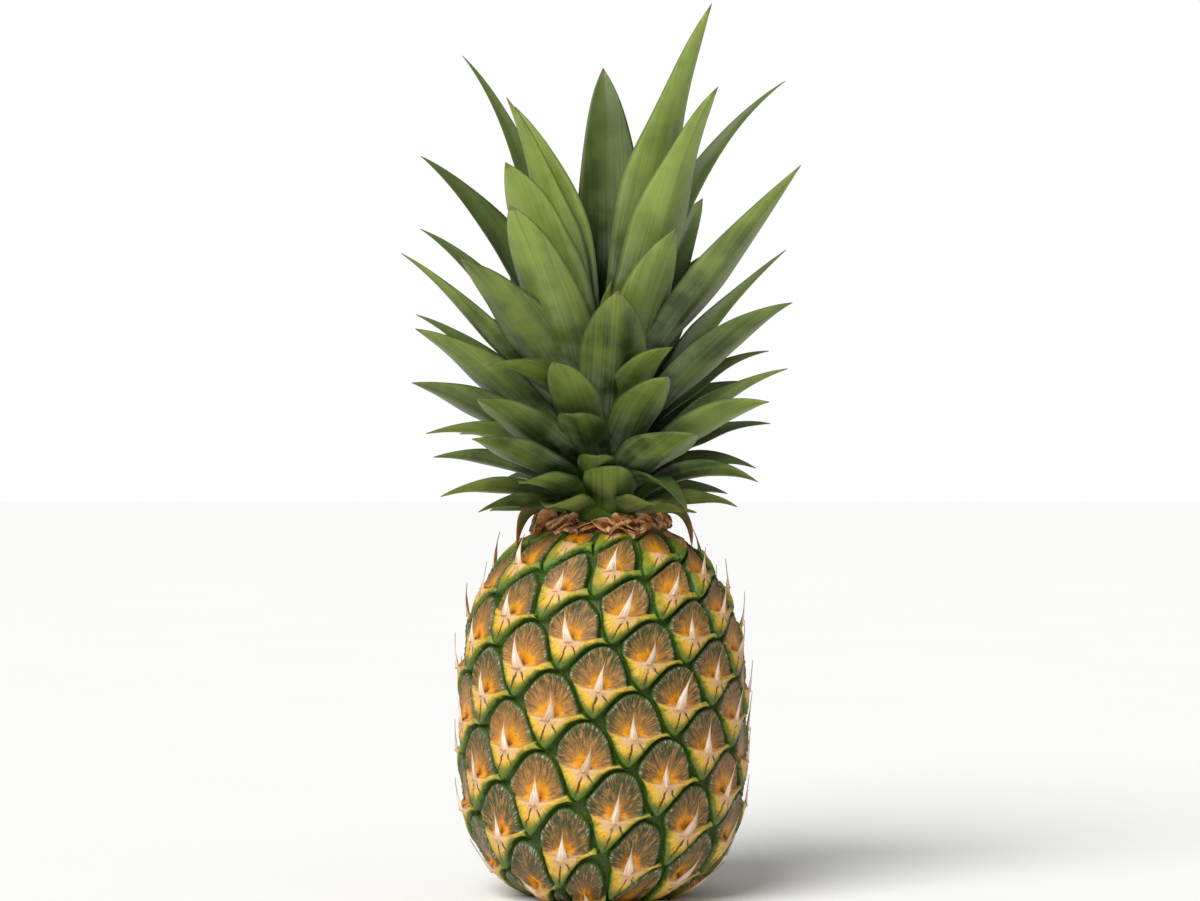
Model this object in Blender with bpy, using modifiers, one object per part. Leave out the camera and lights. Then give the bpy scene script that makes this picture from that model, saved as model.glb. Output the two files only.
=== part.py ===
"""Pineapple with its crown of leaves, standing upright on its base.

The fruit is a barrel-shaped body covered with eyes on crossing spiral rows.
Each eye is raised from the skin by a formula: a sunken groove all round, a disc
above, a winged bract below and a spike between them. A collar of dried leaves
lies round the neck, and the crown of channelled leaves grows out of a short stem.

Units are metres. +Z is up, -Y is the front, the origin is the centre of the base.
"""

import math

import bmesh
import bpy
import numpy as np

MM = 0.001
DEG = math.radians(1.0)
FULL_TURN = 2.0 * math.pi

# Clearance kept between two pieces that touch, and the size of a seam that is welded
GAP = 0.3 * MM
WELD_DISTANCE = 0.002 * MM

# Fruit: a barrel whose profile is one rounded curve below its widest ring and one above
FRUIT_RADIUS = 59.4 * MM
WIDEST_HEIGHT = 73.0 * MM
LOWER_REACH, LOWER_SQUARENESS = 78.0 * MM, 3.6
UPPER_REACH, UPPER_SQUARENESS = 87.0 * MM, 2.8
NECK_HEIGHT = 153.0 * MM
MERIDIAN_BOTTOM, MERIDIAN_TOP = -200.0 * MM, 300.0 * MM
MERIDIAN_STEP = 0.05 * MM

# Eyes: eye number k stands one turn further round and one eye's area further up than k - 1.
# Towards both ends the rows twist by the cube of the level, counted in eyes.
EYE_TURN = 137.39 * DEG
FIRST_EYE_AZIMUTH = 12.3 * DEG
ROW_TWIST = 0.000171 * DEG
EYE_ZERO_AREA = 28400.0 * MM**2
EYE_AREA = 565.0 * MM**2
EYE_AREA_SHRINK = 1.13 * MM**2
ROW_LEAN = 59.0 * MM**2
FLAT_ROW, STEEP_ROW = 8, -13
LOWEST_EYE, HIGHEST_EYE = -80, 86

# Relief of one eye, in the eye's own square of side 1 between four grooves
FLAT_STEPS = np.array([-0.5, -0.3, -0.1, 0.1, 0.4])
STEEP_STEPS = np.array([-0.5, -0.4, -0.1, 0.1, 0.3])
SCALE_BULGE, SCALE_CROWN = 0.16, 0.4
GROOVE_DEPTH = 2.2 * MM
UPPER_GROOVE, LOWER_GROOVE = 0.2, 0.4
BRACT_RISE = 1.5 * MM
WING_LEVEL, WING_DIP, WING_TILT, WING_BLEND = 0.17, 0.2, 0.12, 0.25
DISC_RIM, DISC_HOLLOW = 0.9 * MM, 1.0 * MM
NECK_FADE = 6.0 * MM

# Spikes: length, how far each stands off the skin, and its sideways lean. A pair is the
# least and the added range of a seeded draw. Under the widest ring they follow the skin less.
SPIKE_LENGTH = (8.6 * MM, 4.6 * MM)
SPIKE_STAND_OFF = (0.29, 0.18)
SPIKE_SPREAD = 0.30
SPIKE_SKIN_SHARE = 0.6
SPIKE_SEED = 11
SPIKE_LOWEST, SPIKE_HIGHEST = 2.5 * MM, 143.0 * MM

# Crown stem, from the flat neck of the fruit into the heart of the crown
STEM_TOP = 220.0 * MM
STEM_FOOT_RADIUS, STEM_TOP_RADIUS = 20.0 * MM, 6.0 * MM
STEM_SIDES = 12

# Blade of a leaf: thickness, width at the root and place of the full width along it
BLADE_MIDDLE, BLADE_EDGE = 1.9 * MM, 0.8 * MM
CHANNEL_DEPTH, CHANNEL_FADE = 0.55, 0.25
ROOT_SINK = 2.5 * MM
ROOT_TURN, ROOT_TURN_RATE = 7.0 * DEG, 2.4
ROOT_WIDTH, WIDEST_PLACE = 0.62, 0.52
SLIM_TAPER, TAPER_CHANGE = 2.6, 0.22
LEAST_TAPER, MOST_TAPER = 1.1, 1.8
LEAF_ROLL = 36.0 * DEG
LONG_STATIONS = (0.0, 0.22, 0.45, 0.68, 0.87, 1.0)
SHORT_STATIONS = (0.0, 0.34, 0.7, 1.0)
SHORT_LEAF = 62.0 * MM

# Leaves seen from the front, in millimetres and degrees:
# tip across, tip depth (front is negative), tip height, width, root height, arch
FRONT_LEAVES = (
    # Tall leaves of the heart
    (45, -18, 372, 28, 214, 10),
    (47, -34, 336, 27, 210, 8),
    (0, 18, 349, 28, 214, 5),
    (-40, -20, 333, 22, 212, 9),
    (-37, 0, 331, 24, 213, 14),
    (-40, -36, 305, 28, 212, 4),
    (-60, 26, 355, 16, 212, 12),
    (-38, -48, 287, 27, 196, 4),
    (77, 14, 343, 16, 214, 17),
    (43, 40, 295, 21, 206, 2),
    # Upper ring
    (-77, 10, 311, 24, 206, 13),
    (-78, 24, 281, 17, 198, 14),
    (-84, -12, 269, 14, 192, 4),
    (-58, -40, 265, 27, 194, 10),
    (81, -34, 304, 21, 208, 3),
    (30, -36, 278, 25, 204, 9),
    (6, -50, 252, 28, 190, 8),
    (78, 22, 272, 12, 192, 10),
    # Middle ring
    (-79, 8, 244, 15, 188, 7),
    (-77, -34, 237, 22, 182, 7),
    (-79, -24, 215, 21, 180, 10),
    (-47, -52, 222, 21, 190, 45),
    (-51, -54, 208, 23, 180, 4),
    (78, -26, 248, 21, 190, 11),
    (71, 28, 229, 13, 184, 18),
    (77, -8, 221, 13, 178, 14),
    (28, -54, 229, 17, 190, 30),
    (26, -62, 217, 21, 180, 18),
    (-20, -60, 223, 21, 184, 12),
    # Lower ring
    (68, -36, 207, 19, 176, 12),
    (71, 14, 198, 12, 174, 21),
    (-73, -26, 194, 14, 176, 28),
    (-53, -56, 192, 20, 172, 4),
    (-13, -64, 200, 25, 178, 40),
    (37, -58, 194, 27, 172, 8),
    (65, 18, 179, 12, 171, 31),
    (64, -20, 174, 13, 170, 31),
    (-71, -6, 184, 13, 170, 18),
    (-67, -26, 168, 13, 166, 16),
    # Skirt, close above the collar
    (-2, -60, 182, 18, 170, 40),
    (2, -48, 179, 23, 162, 14),
    (-34, -50, 174, 19, 166, 20),
    (34, -54, 163, 15, 168, 50),
    (-51, -38, 162, 14, 162, 16),
    (-48, 12, 161, 11, 162, 10),
    (55, -32, 164, 13, 163, 12),
    (38, -44, 162, 12, 162, 8),
    (-23, -46, 164, 19, 162, 14),
    (21, -46, 165, 18, 162, 14),
)

# Leaves of the far side, laid out by a rule from the skirt up to the heart. Each leaf's
# rank goes from 0 at the skirt to 1 at the heart, and each pair is a value's start and gain.
REAR_LEAVES = 32
REAR_AZIMUTH = (118.0 * DEG, 124.0 * DEG)
REAR_REACH, REAR_SWELL, REAR_CLOSING = 56.0 * MM, 30.0 * MM, 16.0 * MM
REAR_REACH_SHARE = (0.92, 0.16)
REAR_HEIGHT, REAR_HEIGHT_POWER, REAR_HEIGHT_DRAW = (162.0 * MM, 130.0 * MM), 1.15, 6.0 * MM
REAR_WIDTH, REAR_WIDTH_POWER = (12.0 * MM, 12.0 * MM), 0.8
REAR_ROOT = (162.0 * MM, 44.0 * MM)
REAR_ARCH = (26.0 * DEG, -18.0 * DEG)
GOLDEN_FRACTION = 0.618034
REAR_SEED = 5

# Collar of dried leaves round the neck: a low ring, and flaps whose pairs are the least
# and the added range of a seeded draw. Their tips clear the fruit's shoulder below them.
COLLAR_INNER, COLLAR_OUTER = 21.0 * MM, 27.0 * MM
COLLAR_HEIGHT = 2.6 * MM
COLLAR_STEPS = 16
COLLAR_SEED = 3
FLAPS = 20
FLAP_ROOT_REACH, FLAP_ROOT_RISE = 23.0 * MM, 2.2 * MM
FLAP_REACH = (31.0 * MM, 5.0 * MM)
FLAP_CLEARANCE = (6.6 * MM, 4.0 * MM)
FLAP_CEILING = 157.5 * MM
FLAP_ARCH = (8.0 * DEG, 20.0 * DEG)
FLAP_WIDTH = (9.0 * MM, 5.0 * MM)
FLAP_STATIONS = (0.0, 0.5, 1.0)
FLAP_CHANNEL, FLAP_THIN = 0.3, 0.7

# Finish of each piece: colour in linear light, roughness
FINISHES = {
    "fruit": ((0.45, 0.30, 0.05, 1.0), 0.45),
    "dry_collar": ((0.30, 0.15, 0.06, 1.0), 0.85),
    "crown": ((0.05, 0.14, 0.02, 1.0), 0.50),
}


def clear_scene():
    """Removes every object, so that the model starts from nothing."""
    for old in list(bpy.data.objects):
        bpy.data.objects.remove(old, do_unlink=True)


def smooth_step(value):
    """Eases from 0 to 1 as the value goes from 0 to 1, and is flat outside."""
    value = np.clip(value, 0.0, 1.0)
    return value * value * (3.0 - 2.0 * value)


def drawn(least_and_range, draw):
    """A value from its least and its added range, by a draw from 0 to 1."""
    return least_and_range[0] + least_and_range[1] * draw


def new_mesh(name, points, faces):
    """Makes a mesh from an array of points and a list of faces."""
    mesh = bpy.data.meshes.new(name)
    mesh.from_pydata([tuple(point) for point in points], [], faces)
    mesh.update()
    return mesh


def new_object(name, mesh, collection):
    """Puts a mesh into a collection as an object."""
    thing = bpy.data.objects.new(name, mesh)
    collection.objects.link(thing)
    return thing


def finish(thing):
    """Gives a piece its own material and smooth shading with crisp ridges."""
    colour, roughness = FINISHES[thing.name]
    material = bpy.data.materials.new(thing.name)
    material.use_nodes = True
    shader = material.node_tree.nodes["Principled BSDF"]
    shader.inputs["Base Color"].default_value = colour
    shader.inputs["Roughness"].default_value = roughness
    shader.inputs["Metallic"].default_value = 0.0
    thing.data.materials.clear()
    thing.data.materials.append(material)
    thing.data.shade_smooth()
    thing.data.set_sharp_from_angle(angle=40.0 * DEG)


# Fruit


def barrel_radius(height):
    """Radius of the smooth barrel: full at the widest ring, rounded to each end."""
    below = np.clip((WIDEST_HEIGHT - height) / LOWER_REACH, 0.0, 1.0) ** LOWER_SQUARENESS
    above = np.clip((height - WIDEST_HEIGHT) / UPPER_REACH, 0.0, 1.0) ** UPPER_SQUARENESS
    return FRUIT_RADIUS * np.sqrt(1.0 - np.maximum(below, above))


def meridian():
    """Heights and radii up the barrel, with the skin's area counted from the base.

    Below the base and above the neck the barrel goes on as a straight tube, so
    that the rows of eyes run past both ends before those are cut flat.
    """
    heights = np.arange(MERIDIAN_BOTTOM, MERIDIAN_TOP, MERIDIAN_STEP)
    radii = barrel_radius(np.clip(heights, 0.0, NECK_HEIGHT))
    slant = np.hypot(np.diff(heights), np.diff(radii))
    bands = math.pi * (radii[1:] + radii[:-1]) * slant
    areas = np.concatenate([[0.0], np.cumsum(bands)])
    areas -= np.interp(0.0, heights, areas)
    return heights, radii, areas


def skin_frame(eye, flat, steep):
    """Where a place in an eye's square lies on the smooth barrel.

    The place is the eye's number with steps along the flat and the steep row.
    Its number with those steps is its level, which gives the skin's area below it,
    hence its height, and each step turns it round the axis. Returns azimuth,
    height, radius and the outward normal's radial and upward parts.
    """
    heights, radii, areas = meridian()
    flat_turn = FLAT_ROW * EYE_TURN - 3.0 * FULL_TURN
    steep_turn = STEEP_ROW * EYE_TURN + 5.0 * FULL_TURN
    level = eye + FLAT_ROW * flat + STEEP_ROW * steep
    azimuth = FIRST_EYE_AZIMUTH + eye * EYE_TURN + flat * flat_turn + steep * steep_turn
    azimuth = azimuth + ROW_TWIST * level**3
    area = EYE_ZERO_AREA + EYE_AREA * level - EYE_AREA_SHRINK * level**2
    area -= ROW_LEAN * level * np.sin(azimuth)
    height = np.interp(area, areas, heights)
    radius = np.interp(height, heights, radii)
    slope = np.interp(height, heights, np.gradient(radii, heights))
    length = np.sqrt(1.0 + slope**2)
    return azimuth, height, radius, 1.0 / length, -slope / length


def bulged(flat, steep):
    """Rounds an eye: its two upper grooves bow outwards, most near its top.

    The two lower grooves belong to the eyes below, so they bow inwards by as much.
    """
    near_top = 1.0 - 2.0 * SCALE_CROWN * steep
    moved_flat = flat + SCALE_BULGE * 4.0 * flat**2 * (1.0 - 4.0 * steep**2) * near_top
    near_top = 1.0 + 2.0 * SCALE_CROWN * flat
    moved_steep = steep - SCALE_BULGE * 4.0 * steep**2 * (1.0 - 4.0 * flat**2) * near_top
    return moved_flat, moved_steep


def eye_relief(flat, steep):
    """Height of an eye over the barrel: groove, hollow disc and raised bract.

    The groove runs along the square's edges, narrower on the upper two. The bract
    fills the part below a line that dips from the two side corners to the middle,
    and the disc, which rises to its rim, fills the part above that line.
    """
    across, up = flat + steep, flat - steep
    upper = 1.0 - 2.0 * np.maximum(flat, -steep)
    lower = 1.0 - 2.0 * np.maximum(-flat, steep)
    inside = np.minimum(upper, lower)
    wing_line = WING_LEVEL - WING_DIP * (1.0 - np.clip(np.abs(across), 0.0, 1.0)) ** 2
    wing_line += WING_TILT * across
    bract = smooth_step((wing_line - up) / WING_BLEND)
    disc = DISC_RIM * (1.0 - inside) - DISC_HOLLOW * inside
    shore = np.minimum(upper / UPPER_GROOVE, lower / LOWER_GROOVE)
    groove = GROOVE_DEPTH * (1.0 - smooth_step(shore))
    return BRACT_RISE * bract + disc * (1.0 - bract) - groove


def place_on_skin(azimuth, height, radius, out, rise, lift):
    """Points at a height along the normal over the barrel."""
    reach = radius + lift * out
    return np.stack([reach * np.sin(azimuth), -reach * np.cos(azimuth), height + lift * rise], -1)


def spike_tips(eyes):
    """Tips of the spikes: each leans up and off the skin, by a seeded draw."""
    centre = np.zeros(len(eyes))
    azimuth, height, radius, out, rise = skin_frame(eyes, centre, centre)
    draw = np.random.default_rng(SPIKE_SEED).random((len(eyes), 3))
    length = drawn(SPIKE_LENGTH, draw[:, 0])
    stand_off = drawn(SPIKE_STAND_OFF, draw[:, 1])
    lean = SPIKE_SPREAD * (2.0 * draw[:, 2] - 1.0)
    outward = SPIKE_SKIN_SHARE * np.maximum(-rise, 0.0) + stand_off * out
    upward = np.hypot(out, np.maximum(rise, 0.0)) + stand_off * rise
    scale = length / np.sqrt(outward**2 + upward**2 + lean**2)
    whole = (height > SPIKE_LOWEST) & (height < SPIKE_HIGHEST)
    scale = np.where(whole, scale, 0.0)
    reach = radius + outward * scale
    side = lean * scale
    return np.stack([
        reach * np.sin(azimuth) + side * np.cos(azimuth),
        -reach * np.cos(azimuth) + side * np.sin(azimuth),
        height + upward * scale,
    ], -1)


def make_fruit(collection):
    """The body of the fruit: one skin of eyes, cut flat at the base and the neck."""
    count = len(FLAT_STEPS)
    eyes = np.arange(LOWEST_EYE, HIGHEST_EYE + 1)
    eye, flat, steep = np.meshgrid(eyes, FLAT_STEPS, STEEP_STEPS, indexing="ij")
    azimuth, height, radius, out, rise = skin_frame(eye, *bulged(flat, steep))
    fade = smooth_step((NECK_HEIGHT - height) / NECK_FADE)
    points = place_on_skin(azimuth, height, radius, out, rise, eye_relief(flat, steep) * fade)
    points = points.reshape(-1, 3)
    tips = spike_tips(eyes)

    def corner(number, row, column):
        """Index of a grid point; a step past the square is the next eye's first point."""
        number += FLAT_ROW * (row // count) + STEEP_ROW * (column // count)
        return ((number - LOWEST_EYE) * count + row % count) * count + column % count

    faces = []
    middle = count // 2
    first_tip = len(points)
    for number in range(LOWEST_EYE - STEEP_ROW, HIGHEST_EYE - FLAT_ROW + 1):
        for row in range(count):
            for column in range(count):
                ring = [
                    corner(number, row, column),
                    corner(number, row, column + 1),
                    corner(number, row + 1, column + 1),
                    corner(number, row + 1, column),
                ]
                if row == middle and column == middle:
                    tip = first_tip + number - LOWEST_EYE
                    for side in range(4):
                        faces.append((ring[side], ring[(side + 1) % 4], tip))
                else:
                    faces.append(tuple(ring))
    mesh = new_mesh("fruit", np.concatenate([points, tips]), faces)
    cut_flat(mesh, 0.0, -1.0)
    cut_flat(mesh, NECK_HEIGHT, 1.0)
    return new_object("fruit", mesh, collection)


def cut_flat(mesh, height, side):
    """Cuts everything past a level plane off an open tube, and closes the cut."""
    form = bmesh.new()
    form.from_mesh(mesh)
    loose = [vert for vert in form.verts if not vert.link_faces]
    bmesh.ops.delete(form, geom=loose, context="VERTS")
    everything = form.verts[:] + form.edges[:] + form.faces[:]
    cut = bmesh.ops.bisect_plane(
        form, geom=everything, dist=0.01 * MM,
        plane_co=(0.0, 0.0, height), plane_no=(0.0, 0.0, side), clear_outer=True)
    rim = [edge for edge in cut["geom_cut"] if isinstance(edge, bmesh.types.BMEdge)]
    bmesh.ops.holes_fill(form, edges=rim, sides=0)
    bmesh.ops.recalc_face_normals(form, faces=form.faces[:])
    form.to_mesh(mesh)
    form.free()


# Leaves


def loft(rings, closed_tip):
    """A closed skin over rings of equal count; the last ring may shrink to its centre.

    Every ring runs the same way round, and the four-sided faces between two
    rings are split along the same diagonal on both sides of the blade.
    """
    count = rings.shape[1]
    points = rings.reshape(-1, 3)
    faces = [tuple(reversed(range(count)))]
    bands = len(rings) - (2 if closed_tip else 1)
    for band in range(bands):
        for side in range(count):
            low, high = band * count, (band + 1) * count
            following = (side + 1) % count
            first = (low + side, low + following, high + following)
            second = (low + side, high + following, high + side)
            faces += [first, second]
    last = bands * count
    if closed_tip:
        points = np.concatenate([points[:last + count], rings[-1].mean(axis=0)[None]])
        tip = last + count
        faces += [(last + side, last + (side + 1) % count, tip) for side in range(count)]
    else:
        faces.append(tuple(range(last, last + count)))
    return points, faces


def blade_width(place, taper):
    """Share of a leaf's width along it: swells to the widest place, then tapers off."""
    swell = np.sin(0.5 * math.pi * np.clip(place / WIDEST_PLACE, 0.0, 1.0))
    beyond = np.clip((place - WIDEST_PLACE) / (1.0 - WIDEST_PLACE), 0.0, 1.0)
    return (ROOT_WIDTH + (1.0 - ROOT_WIDTH) * swell) * (1.0 - beyond**taper)


def leaf_rings(root, tip, arch, width, stations,
               channel=CHANNEL_DEPTH, thin=1.0, most_roll=LEAF_ROLL):
    """Six-sided sections of a channelled leaf along an arched spine.

    The spine lies in the upright plane through the axis. It leaves the root
    steeper than the straight line to the tip by the arch angle, and bends over
    to the tip. Across it the blade is a shallow channel that opens upwards and
    inwards, deepest at the root. Leaves that point sideways are rolled about their
    spine, backs to the front or, on the far side, to the rear.
    """
    place = np.array(stations)[:, None]
    flat_run = tip[:2] - root[:2]
    ahead = np.append(flat_run / np.linalg.norm(flat_run), 0.0)
    upright = np.array([0.0, 0.0, 1.0])
    span = np.linalg.norm(tip - root)
    lift = arch + math.atan2(tip[2] - root[2], np.linalg.norm(flat_run))
    bend = root + 0.5 * span * (math.cos(lift) * ahead + math.sin(lift) * upright)
    spine = (1 - place) ** 2 * root + 2 * place * (1 - place) * bend + place**2 * tip
    along = 2 * (1 - place) * (bend - root) + 2 * place * (tip - bend)
    along /= np.linalg.norm(along, axis=1, keepdims=True)
    level = np.broadcast_to(np.cross(upright, ahead), along.shape)
    square = np.cross(along, level)
    square /= np.linalg.norm(square, axis=1, keepdims=True)
    roll = most_roll * ahead[0] * abs(ahead[0]) * (-1.0 if ahead[1] > 0.0 else 1.0)
    roll *= smooth_step(place / WIDEST_PLACE)
    side = np.cos(roll) * level - np.sin(roll) * square
    inner = np.cos(roll) * square + np.sin(roll) * level
    taper = np.clip(SLIM_TAPER - TAPER_CHANGE * span / width, LEAST_TAPER, MOST_TAPER)
    half = 0.5 * width * blade_width(place, taper)
    depth = half * (channel - CHANNEL_FADE * place)
    thick = 0.5 * thin * (BLADE_MIDDLE * (1 - place) + BLADE_EDGE * place)
    edge = 0.5 * thin * BLADE_EDGE
    keel = spine - 0.5 * depth * inner
    left = spine - half * side + 0.5 * depth * inner
    right = spine + half * side + 0.5 * depth * inner
    return np.stack([
        left + edge * inner,
        left - edge * inner,
        keel - thick * inner,
        right - edge * inner,
        right + edge * inner,
        keel + thick * inner,
    ], axis=1)


def stem_radius(height):
    """Radius of the crown's tapered stem at a height."""
    share = (height - NECK_HEIGHT) / (STEM_TOP - NECK_HEIGHT)
    return STEM_FOOT_RADIUS + (STEM_TOP_RADIUS - STEM_FOOT_RADIUS) * share


def crown_leaf(number, tip, width, root_height, arch, collection):
    """One leaf of the crown as an object of its own, rooted inside the stem."""
    azimuth = math.atan2(tip[0], -tip[1]) + ROOT_TURN * math.sin(ROOT_TURN_RATE * number)
    outward = np.array([math.sin(azimuth), -math.cos(azimuth)])
    root = np.append(outward * (stem_radius(root_height) - ROOT_SINK), root_height)
    short = np.linalg.norm(tip - root) < SHORT_LEAF
    stations = SHORT_STATIONS if short else LONG_STATIONS
    points, faces = loft(leaf_rings(root, tip, arch, width, stations), closed_tip=True)
    name = "leaf_%02d" % number
    return new_object(name, new_mesh(name, points, faces), collection)


def rear_leaves():
    """Tip, width, root height and arch of each leaf of the far side, skirt first."""
    draw = np.random.default_rng(REAR_SEED).random((REAR_LEAVES, 2))
    for number in range(REAR_LEAVES):
        rank = (number + 0.5) / REAR_LEAVES
        azimuth = drawn(REAR_AZIMUTH, number * GOLDEN_FRACTION % 1.0)
        reach = REAR_REACH + REAR_SWELL * math.sin(math.pi * rank) - REAR_CLOSING * rank**2
        reach *= drawn(REAR_REACH_SHARE, draw[number, 0])
        height = drawn(REAR_HEIGHT, rank**REAR_HEIGHT_POWER) + REAR_HEIGHT_DRAW * draw[number, 1]
        width = drawn(REAR_WIDTH, rank**REAR_WIDTH_POWER)
        tip = np.array([reach * math.sin(azimuth), -reach * math.cos(azimuth), height])
        yield tip, width, drawn(REAR_ROOT, rank), drawn(REAR_ARCH, rank)


def join_all(base, pieces, name, collection):
    """Fuses a base and a collection of pieces into one solid by one union."""
    union = base.modifiers.new("union", "BOOLEAN")
    union.operation = "UNION"
    union.operand_type = "COLLECTION"
    union.collection = pieces
    union.solver = "MANIFOLD"
    bpy.context.view_layer.update()
    depsgraph = bpy.context.evaluated_depsgraph_get()
    mesh = bpy.data.meshes.new_from_object(base.evaluated_get(depsgraph))
    mesh.transform(base.matrix_world)
    for piece in list(pieces.objects):
        bpy.data.objects.remove(piece, do_unlink=True)
    bpy.data.collections.remove(pieces)
    bpy.data.objects.remove(base, do_unlink=True)
    keep_outer_skin(mesh)
    return new_object(name, mesh, collection)


def keep_outer_skin(mesh):
    """Keeps the largest connected skin: sealed pockets are filled, scraps dropped."""
    form = bmesh.new()
    form.from_mesh(mesh)
    bmesh.ops.triangulate(form, faces=form.faces[:])
    bmesh.ops.remove_doubles(form, verts=form.verts[:], dist=WELD_DISTANCE)
    waiting = set(form.verts)
    skins = []
    while waiting:
        skin = set()
        front = [waiting.pop()]
        while front:
            vert = front.pop()
            skin.add(vert)
            for edge in vert.link_edges:
                other = edge.other_vert(vert)
                if other in waiting:
                    waiting.remove(other)
                    front.append(other)
        skins.append(skin)
    largest = max(skins, key=len)
    extra = [vert for vert in form.verts if vert not in largest]
    bmesh.ops.delete(form, geom=extra, context="VERTS")
    form.to_mesh(mesh)
    form.free()


def make_crown(collection):
    """The crown: a short stem with every leaf fused to it."""
    pieces = bpy.data.collections.new("crown_leaves")
    bpy.context.scene.collection.children.link(pieces)
    foot = NECK_HEIGHT + GAP
    bpy.ops.mesh.primitive_cone_add(
        vertices=STEM_SIDES, radius1=STEM_FOOT_RADIUS, radius2=STEM_TOP_RADIUS,
        depth=STEM_TOP - foot, location=(0.0, 0.0, 0.5 * (STEM_TOP + foot)))
    stem = bpy.context.active_object
    number = 0
    for across, depth, height, width, root_height, arch in FRONT_LEAVES:
        tip = np.array([across, depth, height]) * MM
        crown_leaf(number, tip, width * MM, root_height * MM, arch * DEG, pieces)
        number += 1
    for tip, width, root_height, arch in rear_leaves():
        crown_leaf(number, tip, width, root_height, arch, pieces)
        number += 1
    return join_all(stem, pieces, "crown", collection)


# Collar


def make_collar(collection):
    """The dry collar: a low ring with curled flaps that stand out round the neck."""
    pieces = bpy.data.collections.new("collar_flaps")
    bpy.context.scene.collection.children.link(pieces)
    foot = NECK_HEIGHT + GAP
    profile = bpy.data.meshes.new("ring_profile")
    profile.from_pydata(
        [(COLLAR_OUTER, 0.0, foot + COLLAR_HEIGHT), (COLLAR_OUTER, 0.0, foot),
         (COLLAR_INNER, 0.0, foot), (COLLAR_INNER, 0.0, foot + COLLAR_HEIGHT)],
        [(0, 1), (1, 2), (2, 3), (3, 0)], [])
    ring = new_object("collar_ring", profile, collection)
    turn = ring.modifiers.new("turn", "SCREW")
    turn.steps = turn.render_steps = COLLAR_STEPS
    turn.use_merge_vertices = True
    turn.merge_threshold = 0.01 * MM
    draw = np.random.default_rng(COLLAR_SEED).random((FLAPS, 4))
    for number in range(FLAPS):
        azimuth = FULL_TURN * (number * GOLDEN_FRACTION % 1.0)
        outward = np.array([math.sin(azimuth), -math.cos(azimuth), 0.0])
        reach = drawn(FLAP_REACH, draw[number, 0])
        height = shoulder_height(reach) + drawn(FLAP_CLEARANCE, draw[number, 1])
        tip = outward * reach + np.array([0.0, 0.0, min(height, FLAP_CEILING)])
        root = outward * FLAP_ROOT_REACH + np.array([0.0, 0.0, foot + FLAP_ROOT_RISE])
        arch = drawn(FLAP_ARCH, draw[number, 2])
        width = drawn(FLAP_WIDTH, draw[number, 3])
        rings = leaf_rings(
            root, tip, arch, width, FLAP_STATIONS, FLAP_CHANNEL, FLAP_THIN, most_roll=0.0)
        points, faces = loft(rings, closed_tip=True)
        name = "flap_%02d" % number
        new_object(name, new_mesh(name, points, faces), pieces)
    return join_all(ring, pieces, "dry_collar", collection)


def shoulder_height(reach):
    """Height of the fruit's rounded shoulder at a distance from the axis."""
    heights = np.arange(WIDEST_HEIGHT, NECK_HEIGHT, MERIDIAN_STEP)
    return np.interp(-reach, -barrel_radius(heights), heights)


def main():
    """Builds the three pieces of the pineapple."""
    clear_scene()
    collection = bpy.data.collections.new("pineapple")
    bpy.context.scene.collection.children.link(collection)
    finish(make_fruit(collection))
    finish(make_collar(collection))
    finish(make_crown(collection))


if __name__ == "__main__":
    main()
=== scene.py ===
"""The looks of a whole pineapple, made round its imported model.

The fruit's skin, its spikes and the crown of leaves follow the rules and tables of
the solids, with finer relief and a few leaves moved by millimetres. The dry collar is
torn and crumpled where the solid is a plain ring. The materials are procedural.
Units are metres. +Z is up, -Y is the front, the origin is the centre of the base.
"""

import math

import bmesh
import bpy
import numpy as np
from bpy.props import FloatProperty, FloatVectorProperty, IntProperty, PointerProperty
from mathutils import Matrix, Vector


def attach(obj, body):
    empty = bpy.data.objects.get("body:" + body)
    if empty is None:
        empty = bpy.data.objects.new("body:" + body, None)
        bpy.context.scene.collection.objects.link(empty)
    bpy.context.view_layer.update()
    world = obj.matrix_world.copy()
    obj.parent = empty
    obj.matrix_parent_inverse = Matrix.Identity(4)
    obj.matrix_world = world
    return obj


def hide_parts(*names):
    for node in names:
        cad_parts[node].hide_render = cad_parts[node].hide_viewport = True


bl_info = {
    "name": "Pineapple",
    "version": (1, 0, 0),
    "blender": (4, 5, 0),
    "location": "3D View > Sidebar > Pineapple",
    "description": "Builds the skin, spikes, collar and crown of a pineapple",
    "category": "Add Mesh",
}

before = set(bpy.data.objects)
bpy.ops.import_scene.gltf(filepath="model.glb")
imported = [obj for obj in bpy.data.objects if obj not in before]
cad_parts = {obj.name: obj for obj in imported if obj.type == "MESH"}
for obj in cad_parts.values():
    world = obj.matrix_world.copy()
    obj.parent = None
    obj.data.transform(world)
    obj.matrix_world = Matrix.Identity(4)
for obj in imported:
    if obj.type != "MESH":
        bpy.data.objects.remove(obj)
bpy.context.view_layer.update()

MM = 0.001
DEG = math.radians(1.0)
FULL_TURN = 2.0 * math.pi
GOLDEN_FRACTION = 0.618034

# Barrel of the fruit: one rounded curve below its widest ring and one above
FRUIT_RADIUS = 59.4 * MM
WIDEST_HEIGHT = 73.0 * MM
LOWER_REACH, LOWER_SQUARENESS = 78.0 * MM, 3.6
UPPER_REACH, UPPER_SQUARENESS = 87.0 * MM, 2.8
NECK_HEIGHT = 153.0 * MM
MERIDIAN_BOTTOM, MERIDIAN_TOP = -200.0 * MM, 300.0 * MM
MERIDIAN_STEP = 0.05 * MM

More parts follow.
